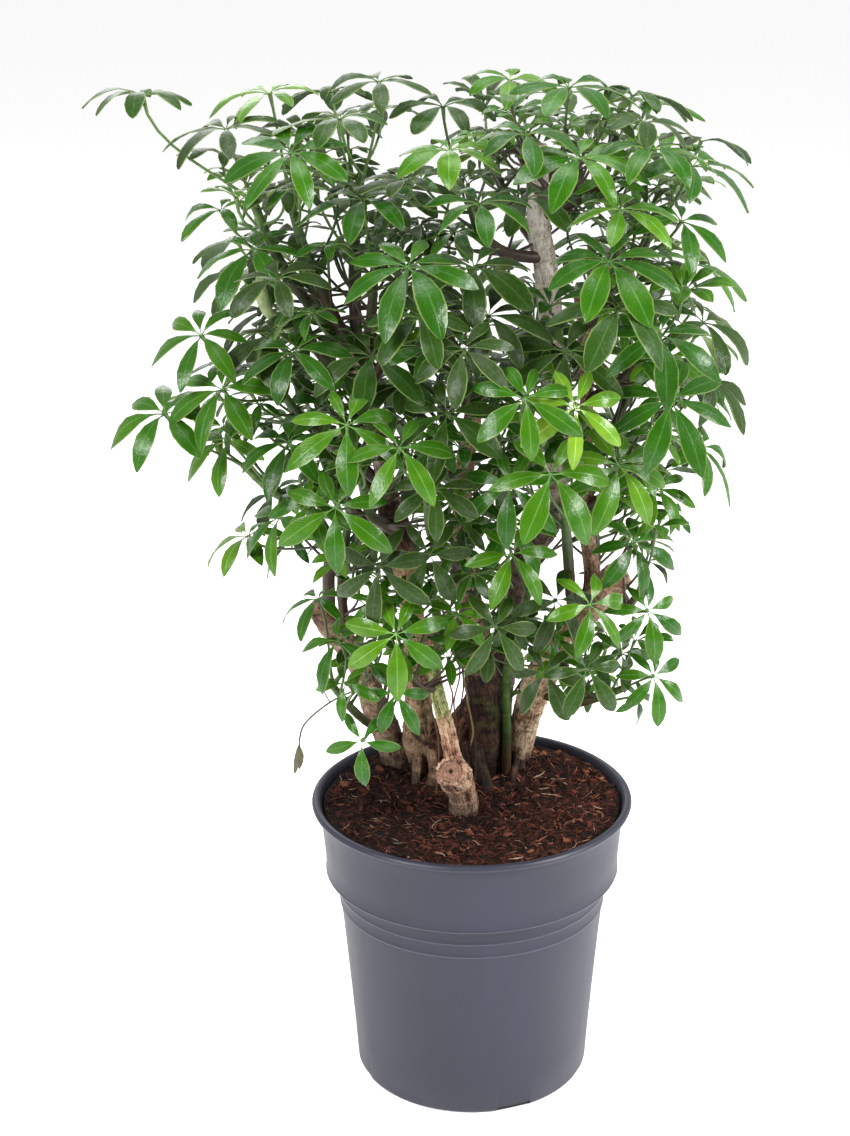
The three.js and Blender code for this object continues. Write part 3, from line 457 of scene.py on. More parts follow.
def spinProfile(bm, profile, segments):  # turns an open profile, from axis to axis, into a closed body
    verts = [bm.verts.new((r * mm, 0, z * mm)) for r, z in profile]
    edges = [bm.edges.new(pair) for pair in zip(verts, verts[1:])]
    bmesh.ops.spin(
        bm, geom=verts + edges, cent=(0, 0, 0), axis=(0, 0, 1), angle=math.tau, steps=segments,
        use_merge=True,
    )
    bmesh.ops.remove_doubles(bm, verts=bm.verts[:], dist=1e-6)
    bmesh.ops.recalc_face_normals(bm, faces=bm.faces[:])


def makePot():
    bm = bmesh.new()
    spinProfile(bm, pot["outside"] + pot["inside"], pot["segments"])
    piece = finishPiece("pot_wall", bm, [potMaterial()])
    slots = bmesh.new()
    notch = pot["notches"]
    for i in range(notch["count"]):
        turn = Matrix.Rotation(math.radians(notch["turn"] + i * 360 / notch["count"]), 4, "Z")
        size = Matrix.Diagonal((notch["width"] * mm, 2 * notch["depth"] * mm, 2 * notch["height"] * mm, 1))
        place = Matrix.Translation((0, -notch["radius"] * mm, 0))
        bmesh.ops.create_cube(slots, size=1, matrix=turn @ place @ size)
    upright = [e for e in slots.edges if abs(e.verts[0].co.z - e.verts[1].co.z) < 1e-6]
    bmesh.ops.bevel(
        slots, geom=upright, offset=notch["rounding"] * mm, segments=3, profile=0.5, affect="EDGES",
        material=-1,
    )
    cutter = finishPiece("notchCutter", slots, [])
    cut = piece.modifiers.new("notches", "BOOLEAN")
    cut.operation = "DIFFERENCE"
    cut.solver = "EXACT"
    cut.object = cutter
    evaluated = piece.evaluated_get(bpy.context.evaluated_depsgraph_get())
    mesh = bpy.data.meshes.new_from_object(evaluated)
    piece.modifiers.clear()
    piece.data = mesh
    bpy.data.objects.remove(cutter)
    mesh.set_sharp_from_angle(angle=math.radians(35))
    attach(piece, "root")
    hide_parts("pot")


soil = {
    "top": 237,
    "edge": 125.4,
    "rise": 5,
    "brim": 8,  # banked up towards the wall
    "mound": {"x": 2, "y": 58, "rise": 9, "reach": 48},  # heaped up round the trunks
    "wall": [(123.6, 226), (121.4, 191), (120.8, 187.4), (112.2, 181.4), (111.2, 176), (106.6, 120),
             (97, 8.4), (94.6, 4), (0, 4)],
    "rings": 62,
    "segments": 210,
    "fibres": 2700,
    "straws": 38,
    "chips": 300,
    "crumbs": 1500,
    # the least and the greatest length and width of each
    "sizes": {"fibre": ((3, 15), (0.2, 0.75)), "straw": ((14, 30), (0.24, 0.46)), "chip": (2.5, 8),
              "crumb": (0.8, 2.2)},
    "spread": 0.965,  # the share of the soil's radius over which they lie, and that which fibres reach
    "limit": 0.97,
}


def soilHeight(x, y):  # the level of the soil over x and y, in metres
    reach = math.hypot(x, y) / (soil["edge"] * mm)
    spot = Vector((x, y, 0))
    mound = soil["mound"]
    away = math.hypot(x / mm - mound["x"], y / mm - mound["y"]) / mound["reach"]
    heap = mound["rise"] * math.exp(-away * away)
    bank = min(1, max(0, (reach - 0.5) / 0.45))
    bank = bank * bank * (3 - 2 * bank)
    lumps = (2.9 - 1.2 * bank) * noise.fractal(spot * 45, 0.9, 2.1, 4)
    crumbs = 2.2 * noise.turbulence(spot * 210, 3, True)
    level = soil["top"] - 2 + soil["rise"] * max(0, 1 - reach) + soil["brim"] * bank
    return (level + heap + lumps + crumbs) * mm


def soilMaterial():  # moist potting soil: peat, bark fibre and grit
    material, tree, surface = newMaterial("moistPottingSoil")
    spot = addNode(tree, "TexCoord", out="Object")
    tone = addNode(tree, "Attribute", attribute_name="fibreTone", out="Fac")
    # clods 5 mm wide
    clods = addNode(tree, "TexNoise", {"Vector": spot, "Scale": 190.0, "Detail": 8.0, "Roughness": 0.7})
    ground = addNode(
        tree, "ValToRGB", (clods,),
        stops=[(0.34, "#050302"), (0.47, "#150a08"), (0.57, "#341b14"), (0.68, "#693c2e"), (0.8, "#9a6b55")],
    )
    fibre = addNode(
        tree, "ValToRGB", (tone,),
        stops=[(0.05, "#150a08"), (0.3, "#3b1d15"), (0.55, "#6c3b2c"), (0.8, "#a06d54"), (1, "#dcc5ab")],
    )
    isFibre = addNode(tree, "Math", (tone, 0.001), operation="GREATER_THAN")
    shade = addNode(tree, "MapRange", (clods, 0.3, 0.7, 0.4, 1.35))
    shaded = addNode(tree, "VectorMath", {0: fibre, "Scale": shade}, operation="SCALE")
    colour = addNode(tree, "Mix", {0: isFibre, 6: ground, 7: shaded}, data_type="RGBA", out=2)
    # painted shade: darker at the left, where the plant shades the soil, and lighter at the right
    across = addNode(tree, "SeparateXYZ", (spot,), out="X")
    paintedSideShade = addNode(tree, "MapRange", (across, -0.07, 0.06, 0.62, 1.1))
    colour = addNode(tree, "VectorMath", {0: colour, "Scale": paintedSideShade}, operation="SCALE")
    bump = addNode(tree, "Bump", {"Height": clods, "Strength": 1.0, "Distance": 0.003})
    fill(tree, surface, {"Base Color": colour, "Normal": bump, "Roughness": 0.88, "Specular IOR Level": 0.18})
    return material


def soilSpot(rng):  # a spot on the soil, even over its area
    reach = soil["edge"] * mm * soil["spread"] * math.sqrt(rng.uniform(0, 1))
    turn = rng.uniform(0, math.tau)
    return reach * math.cos(turn), reach * math.sin(turn)


def inWood(x, y):  # whether a spot on the soil is inside a trunk
    return any((Vector((x, y)) - centre).length < radius for centre, radius in woodFeet)


def makeSoil():
    rng = random.Random(11)
    material = soilMaterial()
    bm = bmesh.new()
    bm.verts.layers.float.new("fibreTone")
    rings = soil["rings"]
    top = [(soil["edge"] * i / rings, soil["top"]) for i in range(rings + 1)]
    spinProfile(bm, top + soil["wall"], soil["segments"])
    for vert in bm.verts:
        if vert.co.z > (soil["top"] - 1) * mm:
            vert.co.z = soilHeight(vert.co.x, vert.co.y)
    finishPiece("potting_soil", bm, [material], replaced=["soil"], slot="soil")

    # bark fibres and straws lie on the soil in loose curves, each a thin closed strip
    bm = bmesh.new()
    toneLayer = bm.verts.layers.float.new("fibreTone")
    strip = unitTube(3, 4)
    for n in range(soil["fibres"] + soil["straws"]):
        isStraw = n >= soil["fibres"]
        x, y = soilSpot(rng)
        if inWood(x, y):
            continue
        heading = rng.uniform(0, math.tau)
        length, width = (rng.uniform(*pair) * mm for pair in soil["sizes"]["straw" if isStraw else "fibre"])
        bend = rng.uniform(-0.9, 0.9)
        lift = rng.uniform(0, 5) * mm if rng.random() < 0.3 else rng.uniform(0, 1.4) * mm
        tone = rng.uniform(0.8, 1) if isStraw else min(1, 0.05 + rng.betavariate(1.7, 2.9))
        spots = []
        for k in range(4):
            share = k / 3 - 0.5
            turn = heading + bend * share
            px = x + length * share * math.cos(turn)
            py = y + length * share * math.sin(turn)
            reach = math.hypot(px, py) / (soil["edge"] * mm)
            if reach > soil["limit"]:
                px, py = px * soil["limit"] / reach, py * soil["limit"] / reach
            spots.append(Vector((px, py, soilHeight(px, py) + 0.3 * mm + lift * (k / 3))))
        verts, _ = addCopy(bm, strip)
        frames = ringFrames(spots)
        for vert in verts:
            ring = round((vert.co.z + 0.5) * 3)
            thin = width * (0.35 if ring in (0, 3) else 1)
            across = frames[ring][0] * vert.co.x + frames[ring][1] * vert.co.y * 0.6
            vert.co = spots[ring] + across * thin
            vert[toneLayer] = tone
    finishPiece("bark_fibres", bm, [material], smooth=False, slot="soil")

    # chips of bark and crumbs of peat
    bm = bmesh.new()
    toneLayer = bm.verts.layers.float.new("fibreTone")
    for n in range(soil["chips"] + soil["crumbs"]):
        isChip = n < soil["chips"]
        x, y = soilSpot(rng)
        if inWood(x, y):
            continue
        length = rng.uniform(*soil["sizes"]["chip" if isChip else "crumb"]) * mm
        shape = (1, rng.uniform(0.3, 0.7), rng.uniform(0.18, 0.35)) if isChip else (1, 0.8, 0.7)
        lean = Matrix.Rotation(rng.uniform(-0.6, 0.6), 4, "X")
        lean = lean @ Matrix.Rotation(rng.uniform(-0.6, 0.6), 4, "Y")
        place = Matrix.Translation((x, y, soilHeight(x, y) + 0.35 * length * shape[2]))
        place = place @ Matrix.Rotation(rng.uniform(0, math.tau), 4, "Z") @ lean
        made = bmesh.ops.create_cube(bm, size=length, matrix=place @ Matrix.Diagonal((*shape, 1)))
        tone = rng.betavariate(1.6, 2.9) * 0.85 + 0.03
        if not isChip:
            tone = rng.uniform(0.02, 0.4)
        for vert in made["verts"]:
            dent = Vector((rng.uniform(-1, 1), rng.uniform(-1, 1), rng.uniform(-0.5, 0.5)))
            vert.co += dent * length * 0.12
            vert[toneLayer] = tone
    finishPiece("bark_chips", bm, [material], smooth=False, slot="soil")


# How each trunk's bark looks. A band gives, above its height, the colours of the cracks, of the bark and of
# its ridges; dirt is how much soil colour the foot takes; ring scars stand closer on young wood. Sizes in
# millimetres.
barks = {
    "front_stub": {
        "bands": [(0, "#24130d", "#93664e", "#d8b69b"), (288, "#5e3a2b", "#b3836a", "#e2c0a2"),
                  (328, "#46552a", "#7a8a46", "#c6c08c"), (390, "#27140f", "#5f352b", "#8f6350")],
        "green": 0.04, "dirt": 0.35, "ringStep": 9, "ringHeight": 0.8, "lumps": 2.0, "cracks": 1.2,
        "sides": 52, "step": 1.4,
    },
    "right_trunk": {
        "bands": [(0, "#22150f", "#5c4030", "#917052"), (262, "#4d392b", "#a98a6d", "#e0c7a8"),
                  (400, "#46301f", "#8b6d55", "#c0a184")],
        "green": 0.02, "dirt": 0.45, "ringStep": 11, "ringHeight": 0.6, "lumps": 0.9, "cracks": 0.6,
        "sides": 46, "step": 1.8,
    },
    "centre_trunk": {
        # the lower band, below about 350 mm, is nearly black: painted shade, where this trunk stands in shade
        # among the others
        "bands": [(0, "#100906", "#2d1d14", "#513a2a"), (350, "#4a3228", "#8c6853", "#bd9880")],
        "green": 0.06, "dirt": 0.15, "ringStep": 13, "ringHeight": 0.6, "lumps": 1.2, "cracks": 0.7,
        "sides": 44, "step": 2.0,
    },
    "mid_left_trunk": {
        "bands": [(0, "#281c15", "#8f6d54", "#c9a888"), (462, "#150d09", "#41291e", "#6b4a39"),
                  (512, "#5f4a41", "#a78c7e", "#d2beb1")],
        "green": 0.08, "dirt": 0.6, "ringStep": 11, "ringHeight": 0.7, "lumps": 1.4, "cracks": 0.8,
        "sides": 46, "step": 1.8,
    },
    "left_trunk": {
        "bands": [(0, "#36241d", "#866957", "#bd9e88"), (400, "#2b1b15", "#5d4234", "#8b6c58")],
        "green": 0.1, "dirt": 0.6, "ringStep": 12, "ringHeight": 0.6, "lumps": 1.0, "cracks": 0.6,
        "sides": 44, "step": 1.9,
    },
    "tall_trunk": {
        # the lower band, below 500 mm, is dark grey-brown: painted shade, where the trunk stands in shade
        # behind the others
        "bands": [(0, "#1f1712", "#51433a", "#7c6a5c"), (500, "#6a594c", "#b4a190", "#ddd1c3"),
                  (640, "#85776b", "#cabdae", "#ece4da")],
        "green": 0.03, "dirt": 0.8, "ringStep": 15, "ringHeight": 0.5, "lumps": 0.8, "cracks": 0.45,
        "sides": 38, "step": 2.2,
    },
}


def barkMaterial(name, look):  # corky bark: fibrous along the trunk, banded by old leaf scars
    material, tree, surface = newMaterial(name)
    spot = addNode(tree, "Attribute", attribute_name="barkSpot", out="Vector")
    cutShare = addNode(tree, "Attribute", attribute_name="cutShare", out="Fac")
    standing = addNode(tree, "Attribute", attribute_name="barkOut", out="Fac")
    place = addNode(tree, "TexCoord", out="Object")
    along = addNode(tree, "Mapping", {"Vector": spot, "Scale": (560, 560, 70)})
    level = addNode(tree, "Mapping", {"Vector": spot, "Scale": (70, 70, 300)})
    # patches of cork 12 mm wide, flakes 3 mm wide, cracks 1.5 mm wide along the trunk, bands 3 mm high, moss
    # 20 mm wide; on the sawn face, a wobble of the rings 8 mm wide and splits 4 mm wide. Each is a place, a
    # scale, its detail, roughness and distortion
    patches, flakes, cracks, rings, mossy, wobble, splits = (
        addNode(tree, "TexNoise", {"Vector": vector, "Scale": scale, "Detail": detail, "Roughness": rough,
                                   "Distortion": warp})
        for vector, scale, detail, rough, warp in (
            (spot, 80.0, 6.0, 0.65, 0.6), (spot, 300.0, 6.0, 0.75, 1.2), (along, 1.0, 6.0, 0.65, 1.5),
            (level, 1.0, 4.0, 0.6, 0.8), (spot, 48.0, 4.0, 0.5, 0.0), (place, 130.0, 5.0, 0.65, 0.8),
            (place, 260.0, 4.0, 0.7, 2.0),
        )
    )
    # sums of weighted values: the bark's pattern, a height that the patches make ragged, the sawn rings
    height = addNode(tree, "SeparateXYZ", (place,), out="Z")
    sums = []
    for total, terms in (
        (0.0, ((rings, 0.12), (cracks, 0.38), (patches, 0.25), (flakes, 0.25), (standing, 0.045))),
        (height, ((patches, 0.05),)),
        (0.0, ((wobble, 0.7), (cutShare, 0.6))),
    ):
        for value, weight in terms:
            total = addNode(tree, "Math", (value, weight, total), operation="MULTIPLY_ADD")
        sums.append(total)
    mixed, heights, ringed = sums
    lift = 25  # how far the patches put a height up on average, in millimetres
    tint = None
    for start, dark, main, light in look["bands"]:
        band = addNode(
            tree, "ValToRGB", (mixed,), stops=[(0.44, dark), (0.487, main), (0.504, main), (0.546, light)]
        )
        if tint is None:
            tint = band
            continue
        low, high = (start + lift - 9) * mm, (start + lift + 9) * mm
        above = addNode(tree, "MapRange", (heights, low, high))
        tint = addNode(tree, "Mix", {0: above, 6: tint, 7: band}, data_type="RGBA", out=2)
    moss = addNode(tree, "MapRange", (mossy, 0.62 - look["green"], 0.8 - look["green"], 0.0, 0.6))
    # wet soil stains the foot, and clings to its last three centimetres
    stain, crust = (
        addNode(tree, "MapRange", (heights, low, high, most, 0.0))
        for low, high, most in ((0.262, 0.33, look["dirt"]), (0.267, 0.3, 0.88))
    )
    stain = addNode(tree, "Math", (stain, crust), operation="MAXIMUM")
    skin = tint
    for share, over in ((moss, "#5f6d36"), (stain, "#1c120d")):
        skin = addNode(tree, "Mix", {0: share, 6: skin, 7: toLinear(over)}, data_type="RGBA", out=2)
    # the sawn face: dark pith, pinkish wood with rings and a few cracks outwards
    sawn = addNode(
        tree, "ValToRGB", (ringed,),
        stops=[
            (0.36, "#2b1a13"), (0.42, "#7a5240"), (0.5, "#bd917a"), (0.58, "#94705c"), (0.66, "#c2977f"),
            (0.75, "#8c6452"), (0.84, "#ba907a"), (0.96, "#684a3a"),
        ],
    )
    split = addNode(tree, "MapRange", (splits, 0.58, 0.7, 0.0, 0.7))
    sawn = addNode(tree, "Mix", {0: split, 6: sawn, 7: toLinear("#33221a")}, data_type="RGBA", out=2)
    isBark = addNode(tree, "MapRange", (cutShare, 0.98, 1.15))
    colour = addNode(tree, "Mix", {0: isBark, 6: sawn, 7: skin}, data_type="RGBA", out=2)
    relief = addNode(tree, "Bump", {"Height": mixed, "Strength": 1.0, "Distance": 0.0045})
    fill(tree, surface, {"Base Color": colour, "Normal": relief, "Roughness": 0.82,
                         "Specular IOR Level": 0.3})
    return material


def barkRelief(look, seed):  # how far the bark stands out at a distance along the trunk and an angle
    rng = random.Random(seed)
    scars = []
    at = 0.0
    while at < 0.75:
        at += look["ringStep"] * rng.uniform(0.6, 1.5) * mm
        scars.append((at, rng.uniform(0.5, 1.3), rng.uniform(0, math.tau)))

    def relief(along, turn, radius):
        around = Vector((math.cos(turn), math.sin(turn), 0))
        out = look["lumps"] * noise.noise(around * 1.2 + Vector((seed, 0, along * 34)))
        out += look["cracks"] * noise.noise(around * 5.5 + Vector((0, seed, along * 60)))
        out += 0.4 * look["cracks"] * noise.noise(around * 14 + Vector((seed, seed, along * 150)))
        for place, height, lean in scars:
            away = (along - place - 0.9 * mm * math.sin(turn + lean)) / (1.1 * mm)
            if abs(away) < 3:
                out += look["ringHeight"] * height * math.exp(-away * away)
        return out * mm * min(1, radius / (9 * mm))

    return relief


def cappedLine(spots, radii, sawn=True):  # the line with a sawn face of closing rings at its end
    ahead = (spots[-1] - spots[-2]).normalized()
    shares = [2] * len(spots)
    # a lip of bark swells over the edge of the cut; each step is a size, a height in mm and a cutShare
    steps = [(1.03, 0.8, 2), (1.0, 1.7, 2), (0.92, 2.3, 1.6), (0.83, 2.1, 1.25), (0.76, 1.3, 1.02),
             (0.66, 1.1, 0.86), (0.5, 1.1, 0.66), (0.34, 1.0, 0.44), (0.18, 0.9, 0.22), (0.05, 0.4, 0.03)]
    if not sawn:
        steps = [(0.97, 0.5, 2), (0.85, 1.0, 2), (0.6, 1.6, 2), (0.3, 2.0, 2), (0.05, 2.1, 2)]
    last, width = spots[-1].copy(), radii[-1]
    for size, lift, share in steps:
        spots.append(last + ahead * lift * mm)
        radii.append(width * size)
        shares.append(share)
    return spots, radii, shares


def makeWoods():
    for n, (name, parts) in enumerate(woodLines.items()):
        look = barks[name]
        bm = withLayers(bmesh.new())
        for k, stations in enumerate(parts):
            spots, radii = smoothLine(stations, look["step"] * mm)
            endsInSoil = stations[-1][2] < soil["top"]
            shares, capRings = None, 0
            if not endsInSoil:
                bare = len(spots)
                spots, radii, shares = cappedLine(spots, radii)
                capRings = len(spots) - bare
            sides = look["sides"] if k == 0 else max(18, look["sides"] // 2)
            relief = barkRelief(look, 3 * n + k + 1)
            growTube(bm, spots, radii, sides, relief=relief, cutShares=shares, capRings=capRings)
        material = barkMaterial(f"bark_{name}", look)
        finishPiece(f"{name}_bark", bm, [material], replaced=[name], slot="bark")


roots = {
    # the dark crown of roots between the trunks, a root over it and one from the collar at the right:
    # stations as above
    "lines": [
        [(-20, 70, 205, 14), (-19, 70, 250, 14), (-13, 64, 277, 12), (-3, 54, 302, 9), (4, 46, 322, 7)],
        [(-27, 66, 205, 9), (-28, 64, 248, 9.5), (-33, 58, 273, 8.5), (-41, 52, 298, 6.5)],
        [(-56, 84, 205, 10), (-57, 80, 240, 11), (-56, 72, 262, 9.5), (-55, 66, 276, 6)],
        [(41, 62, 264, 4.5), (38, 50, 254, 3.8), (35, 39, 242, 3.4), (33, 30, 214, 3)],
        [(-58, 56, 296, 1.7), (-51, 46, 286, 1.6), (-41, 41, 278, 1.6), (-30, 38, 278, 1.5),
         (-21, 34, 286, 1.4)],
        [(-6, 60, 276, 4.6), (-3, 44, 258, 4), (-3, 28, 243, 3.4), (-5, 18, 214, 3)],
    ],
    "look": {
        # the roots' dark bark is painted shade, for the shade between the trunks
        "bands": [(0, "#120a07", "#3b241a", "#7a5440")],
        "green": 0.0, "dirt": 0.5, "ringStep": 9, "ringHeight": 0.8, "lumps": 2.0, "cracks": 0.9,
    },
}


def makeRoots():
    bm = withLayers(bmesh.new())
    for k, stations in enumerate(roots["lines"]):
        spots, radii = smoothLine(stations, 2.2 * mm)
        spots, radii, _ = cappedLine(spots, radii, sawn=False)
        relief = barkRelief(roots["look"], 50 + k)
        growTube(bm, spots, radii, 30 if k < 3 else 14, relief=relief, capRings=5)
    finishPiece("surface_roots", bm, [barkMaterial("bark_roots", roots["look"])], slot="bark")


leaf = {
    "petiole": 75,  # millimetres
    "petioleRadius": 1.15,
    "stalk": 0.13,  # the share of a leaflet's length that is its own thin stalk
    "stalkWidth": 0.045,  # over the blade's width
    "thickness": 0.5,
    "slimness": 0.15,  # half a blade's width over its length
    "arch": 0.55,  # the share of a leaflet's length at which its middle lies
    "fan": (290, 312),  # degrees over which few and many leaflets spread
    "crownAxis": (-20, 25),
    "crownFoot": 380,
    "crownTop": 820,
    "tilt": (54, 12),  # degrees from level at the crown's foot and top
    "sag": (0.26, 0.1),
    "reach": (39, 50),
    # young yellow-green leaves: left or right and height, seen on the plane y = 0, and their tone
    "young": [(79, 585, 0.71), (-4, 788, 0.6), (-164, 818, 0.62), (25, 844, 0.6)],
    "youngReach": 14,
    # the crown's left and right limits in millimetres, from its foot to its top
    "limits": [
        (340, -95, 150), (390, -125, 165), (425, -126, 160), (457, -128, 160), (491, -134, 165),
        (524, -142, 200), (548, -180, 208), (570, -240, 210), (590, -255, 212), (622, -235, 215),
        (653, -222, 215), (685, -205, 210), (715, -198, 190), (746, -200, 195), (776, -215, 200),
        (806, -245, 178), (835, -180, 140),
    ],
}

# How bright each shoot's leaves are, from 0, dark bluish green, to 1, young yellow-green
tones = {
    "shoot_tip_left": 0.46, "shoot_left_crown": 0.5, "shoot_left_top": 0.34, "shoot_left_inner": 0.34,
    "shoot_left_bank": 0.36, "shoot_left_front": 0.48, "shoot_left_reach": 0.62,
    "shoot_centre_crown": 0.46, "shoot_left_low": 0.62, "shoot_left_middle": 0.36,
    "shoot_front_left": 0.6, "shoot_front_middle": 0.44, "shoot_low_left": 0.5,
    "shoot_stub_left": 0.62, "shoot_stub_top": 0.44, "shoot_right_green": 0.6,
    "shoot_right_low": 0.46, "shoot_right_front": 0.4, "shoot_right_knob": 0.38,
    "shoot_right_middle": 0.5, "shoot_right_upper": 0.56, "shoot_right_crown": 0.46,
    "shoot_centre_front": 0.52, "shoot_centre_dark": 0.32, "shoot_top_right": 0.44,
    "shoot_far_right": 0.5, "shoot_top_front": 0.56, "shoot_top_centre": 0.4,
    "shoot_top_middle": 0.4, "shoot_from_soil": 0.44,
}
stem = {
    # how far along from brown to green a stem's skin is, where it isn't the usual
    # the lower tone of shoot_from_soil is painted shade: it makes that stem darker where it stands in shade
    # among the trunks
    "tones": {"shoot_from_soil": 0.44, "shoot_right_green": 0.4, "shoot_low_left": 0.35},
    "usualTone": 0.5,
    # from where to where it turns from brown to green, in millimetres from its foot in the soil or on wood
    "inSoil": (50, 95),
    "onWood": (22, 132),
    "sides": 14,
}


def inCrown(z, pair):  # a value between its foot and top values at a height in metres
    return pair[0] + (pair[1] - pair[0]) * between(z / mm, leaf["crownFoot"], leaf["crownTop"])


def crownLimits(z):
    rows = leaf["limits"]
    height = z / mm
    for (low, left, right), (high, nextLeft, nextRight) in zip(rows, rows[1:]):
        if height <= high:
            share = between(height, low, high)
            return (left + (nextLeft - left) * share) * mm, (right + (nextRight - right) * share) * mm
    return rows[-1][1] * mm, rows[-1][2] * mm


def packedLeaves(node):  # the leaves of a packed shoot: hub, normal, leaflets and petiole
    bm = bmesh.new()
    bm.from_mesh(node.data)
    bmesh.ops.remove_doubles(bm, verts=bm.verts[:], dist=0.02 * mm)
    bm.normal_update()
    found = []
    for hub in bm.verts:
        if len(hub.link_faces) < 20 or len(hub.link_faces) % 4:
            continue
        follows = {}
        for face in hub.link_faces:
            corners = list(face.verts)
            at = corners.index(hub)
            follows[corners[(at + 1) % 3]] = corners[(at + 2) % 3]
        ring = [min(follows, key=lambda v: (v.co - hub.co).length)]
        while len(ring) < len(follows):
            ring.append(follows[ring[-1]])
        normal = Vector()
        for a, b in zip(ring, ring[1:] + ring[:1]):
            normal += (a.co - hub.co).cross(b.co - hub.co)
        normal.normalize()
        leaflets = []
        for i in range(0, len(ring), 4):
            left, tip, right = (ring[(i + k) % len(ring)].co.copy() for k in (1, 2, 3))
            leaflets.append((left, tip, right))
        # the petiole: three vertices under the hub, three halfway, then those on the stem's skin
        top = [v for v in bm.verts if v is not hub and (v.co - hub.co).length < 2.6 * mm]
        rim = set(ring)
        half = {
            n for v in top for n in (e.other_vert(v) for e in v.link_edges)
            if n is not hub and n not in top and (n.co - hub.co).length > 9 * mm
            and min((n.co - r.co).length for r in rim) > 2.5 * mm
        }
        ends = {n for v in half for n in (e.other_vert(v) for e in v.link_edges)} - half - set(top)
        middle = sum((v.co for v in half), Vector()) / len(half) if half else None
        end = sum((v.co for v in ends), Vector()) / len(ends) if ends else None
        found.append(
            {"hub": hub.co.copy(), "normal": normal, "leaflets": leaflets, "middle": middle, "end": end}
        )
    bm.free()
    return found


def unitLeaflet():  # a flat leaflet: across -1 to 1, along 0 to 1, its lower skin one unit below
    bm = bmesh.new()
    rows = [0, 0.11, 0.2, 0.36, 0.54, 0.72, 0.87, 0.965, 1]
    bmesh.ops.create_grid(bm, x_segments=4, y_segments=len(rows) - 1, size=1)
    for vert in bm.verts:
        vert.co.y = rows[round((vert.co.y + 1) / 2 * (len(rows) - 1))]
    rim = [e for e in bm.edges if e.is_boundary]
    bmesh.ops.solidify(bm, geom=bm.faces[:], thickness=1)
    for edge in rim:
        edge.smooth = False
    for face in bm.faces:
        face.smooth = True
        for edge in face.edges:
            if abs(face.normal.z) < 0.5 and abs(edge.verts[0].co.z - edge.verts[1].co.z) < 0.5:
                edge.smooth = False
    return toMesh("unitLeaflet", bm)


def bladeWidth(share, blunt):  # half the width at a share of the length: a thin stalk, then the blade
    if share < leaf["stalk"]:
        return leaf["stalkWidth"]
    t = (share - leaf["stalk"]) / (1 - leaf["stalk"])
    swell = math.sin(math.pi * t ** (1.1 + 0.34 * blunt)) ** (0.78 - 0.2 * blunt) if t < 1 else 0
    return max(leaf["stalkWidth"], swell)


def addLeaflet(bm, mesh, hub, normal, left, tip, right, tone, blunt, rng):
    blade = bm.verts.layers.float_vector["bladeSpot"]
    toneLayer = bm.verts.layers.float["leafTone"]
    length = (tip - hub).length
    middle = (left + right) / 2 + normal * length * rng.uniform(0.06, 0.16)
    across = (right - left).normalized()
    half = (leaf["slimness"] + 0.012 * blunt) * length * rng.uniform(0.82, 1.12)
    roll = rng.uniform(-0.5, 0.5)
    sway = rng.uniform(-0.04, 0.04) * length
    cup = rng.uniform(0.05, 0.2)
    wave = rng.uniform(0.2, 0.8) * mm
    phase = rng.uniform(0, math.tau)
    hook = rng.uniform(0.03, 0.15) * length
    at = leaf["arch"]
    verts, _ = addCopy(bm, mesh)
    for vert in verts:
        x, s, layer = vert.co
        # a curve through the hub, the middle and the tip
        fromHub = (s - at) * (s - 1) / at
        fromMiddle = s * (s - 1) / (at * (at - 1))
        fromTip = s * (s - at) / (1 - at)
        spot = hub * fromHub + middle * fromMiddle + tip * fromTip
        slope = hub * (2 * s - at - 1) / at + middle * (2 * s - 1) / (at * (at - 1))
        slope = (slope + tip * (2 * s - at) / (1 - at)).normalized()
        side = (across - slope * across.dot(slope)).normalized()
        side = (side + side.cross(slope) * roll * s).normalized()
        up = side.cross(slope)
        if up.dot(normal) < 0:
            up.negate()
        width = half * bladeWidth(s, blunt)
        groove = 0.3 * mm * (1 - min(1, abs(x) * 2)) if s > leaf["stalk"] else 0
        ripple = wave * x * x * math.sin(9 * s + phase + (2 if x > 0 else 0)) if s > 0.2 else 0
        spot += side * (x * width + sway * s * s)
        spot += up * (-cup * width * x * x - groove + ripple - hook * s**3)
        spot += up * layer * leaf["thickness"] * mm * (1.6 if s < leaf["stalk"] else 1)
        vert.co = spot
        vert[blade] = (x, s, -layer)
        vert[toneLayer] = tone


def addPetiole(bm, hub, normal, middle, end, inStem):
    start = hub - normal * 0.4 * mm
    span = (start - end).length
    leaving = start - normal * 0.35 * span
    if middle is None:
        arriving = end.lerp(start, 0.35) - upward * 0.08 * span
    else:
        arriving = (middle * 8 - start - leaving * 3 - end) / 3
    spots = geometry.interpolate_bezier(start, leaving, arriving, end, 9)
    spots.append(end + (inStem - end).normalized() * 2 * mm)
    thin = leaf["petioleRadius"] * mm
    radii = [thin * k for k in (1.6, 1, 0.95, 0.95, 0.95, 0.95, 1, 1.2, 1.7, 2)]
    growTube(bm, spots, radii, 6, slot=1)


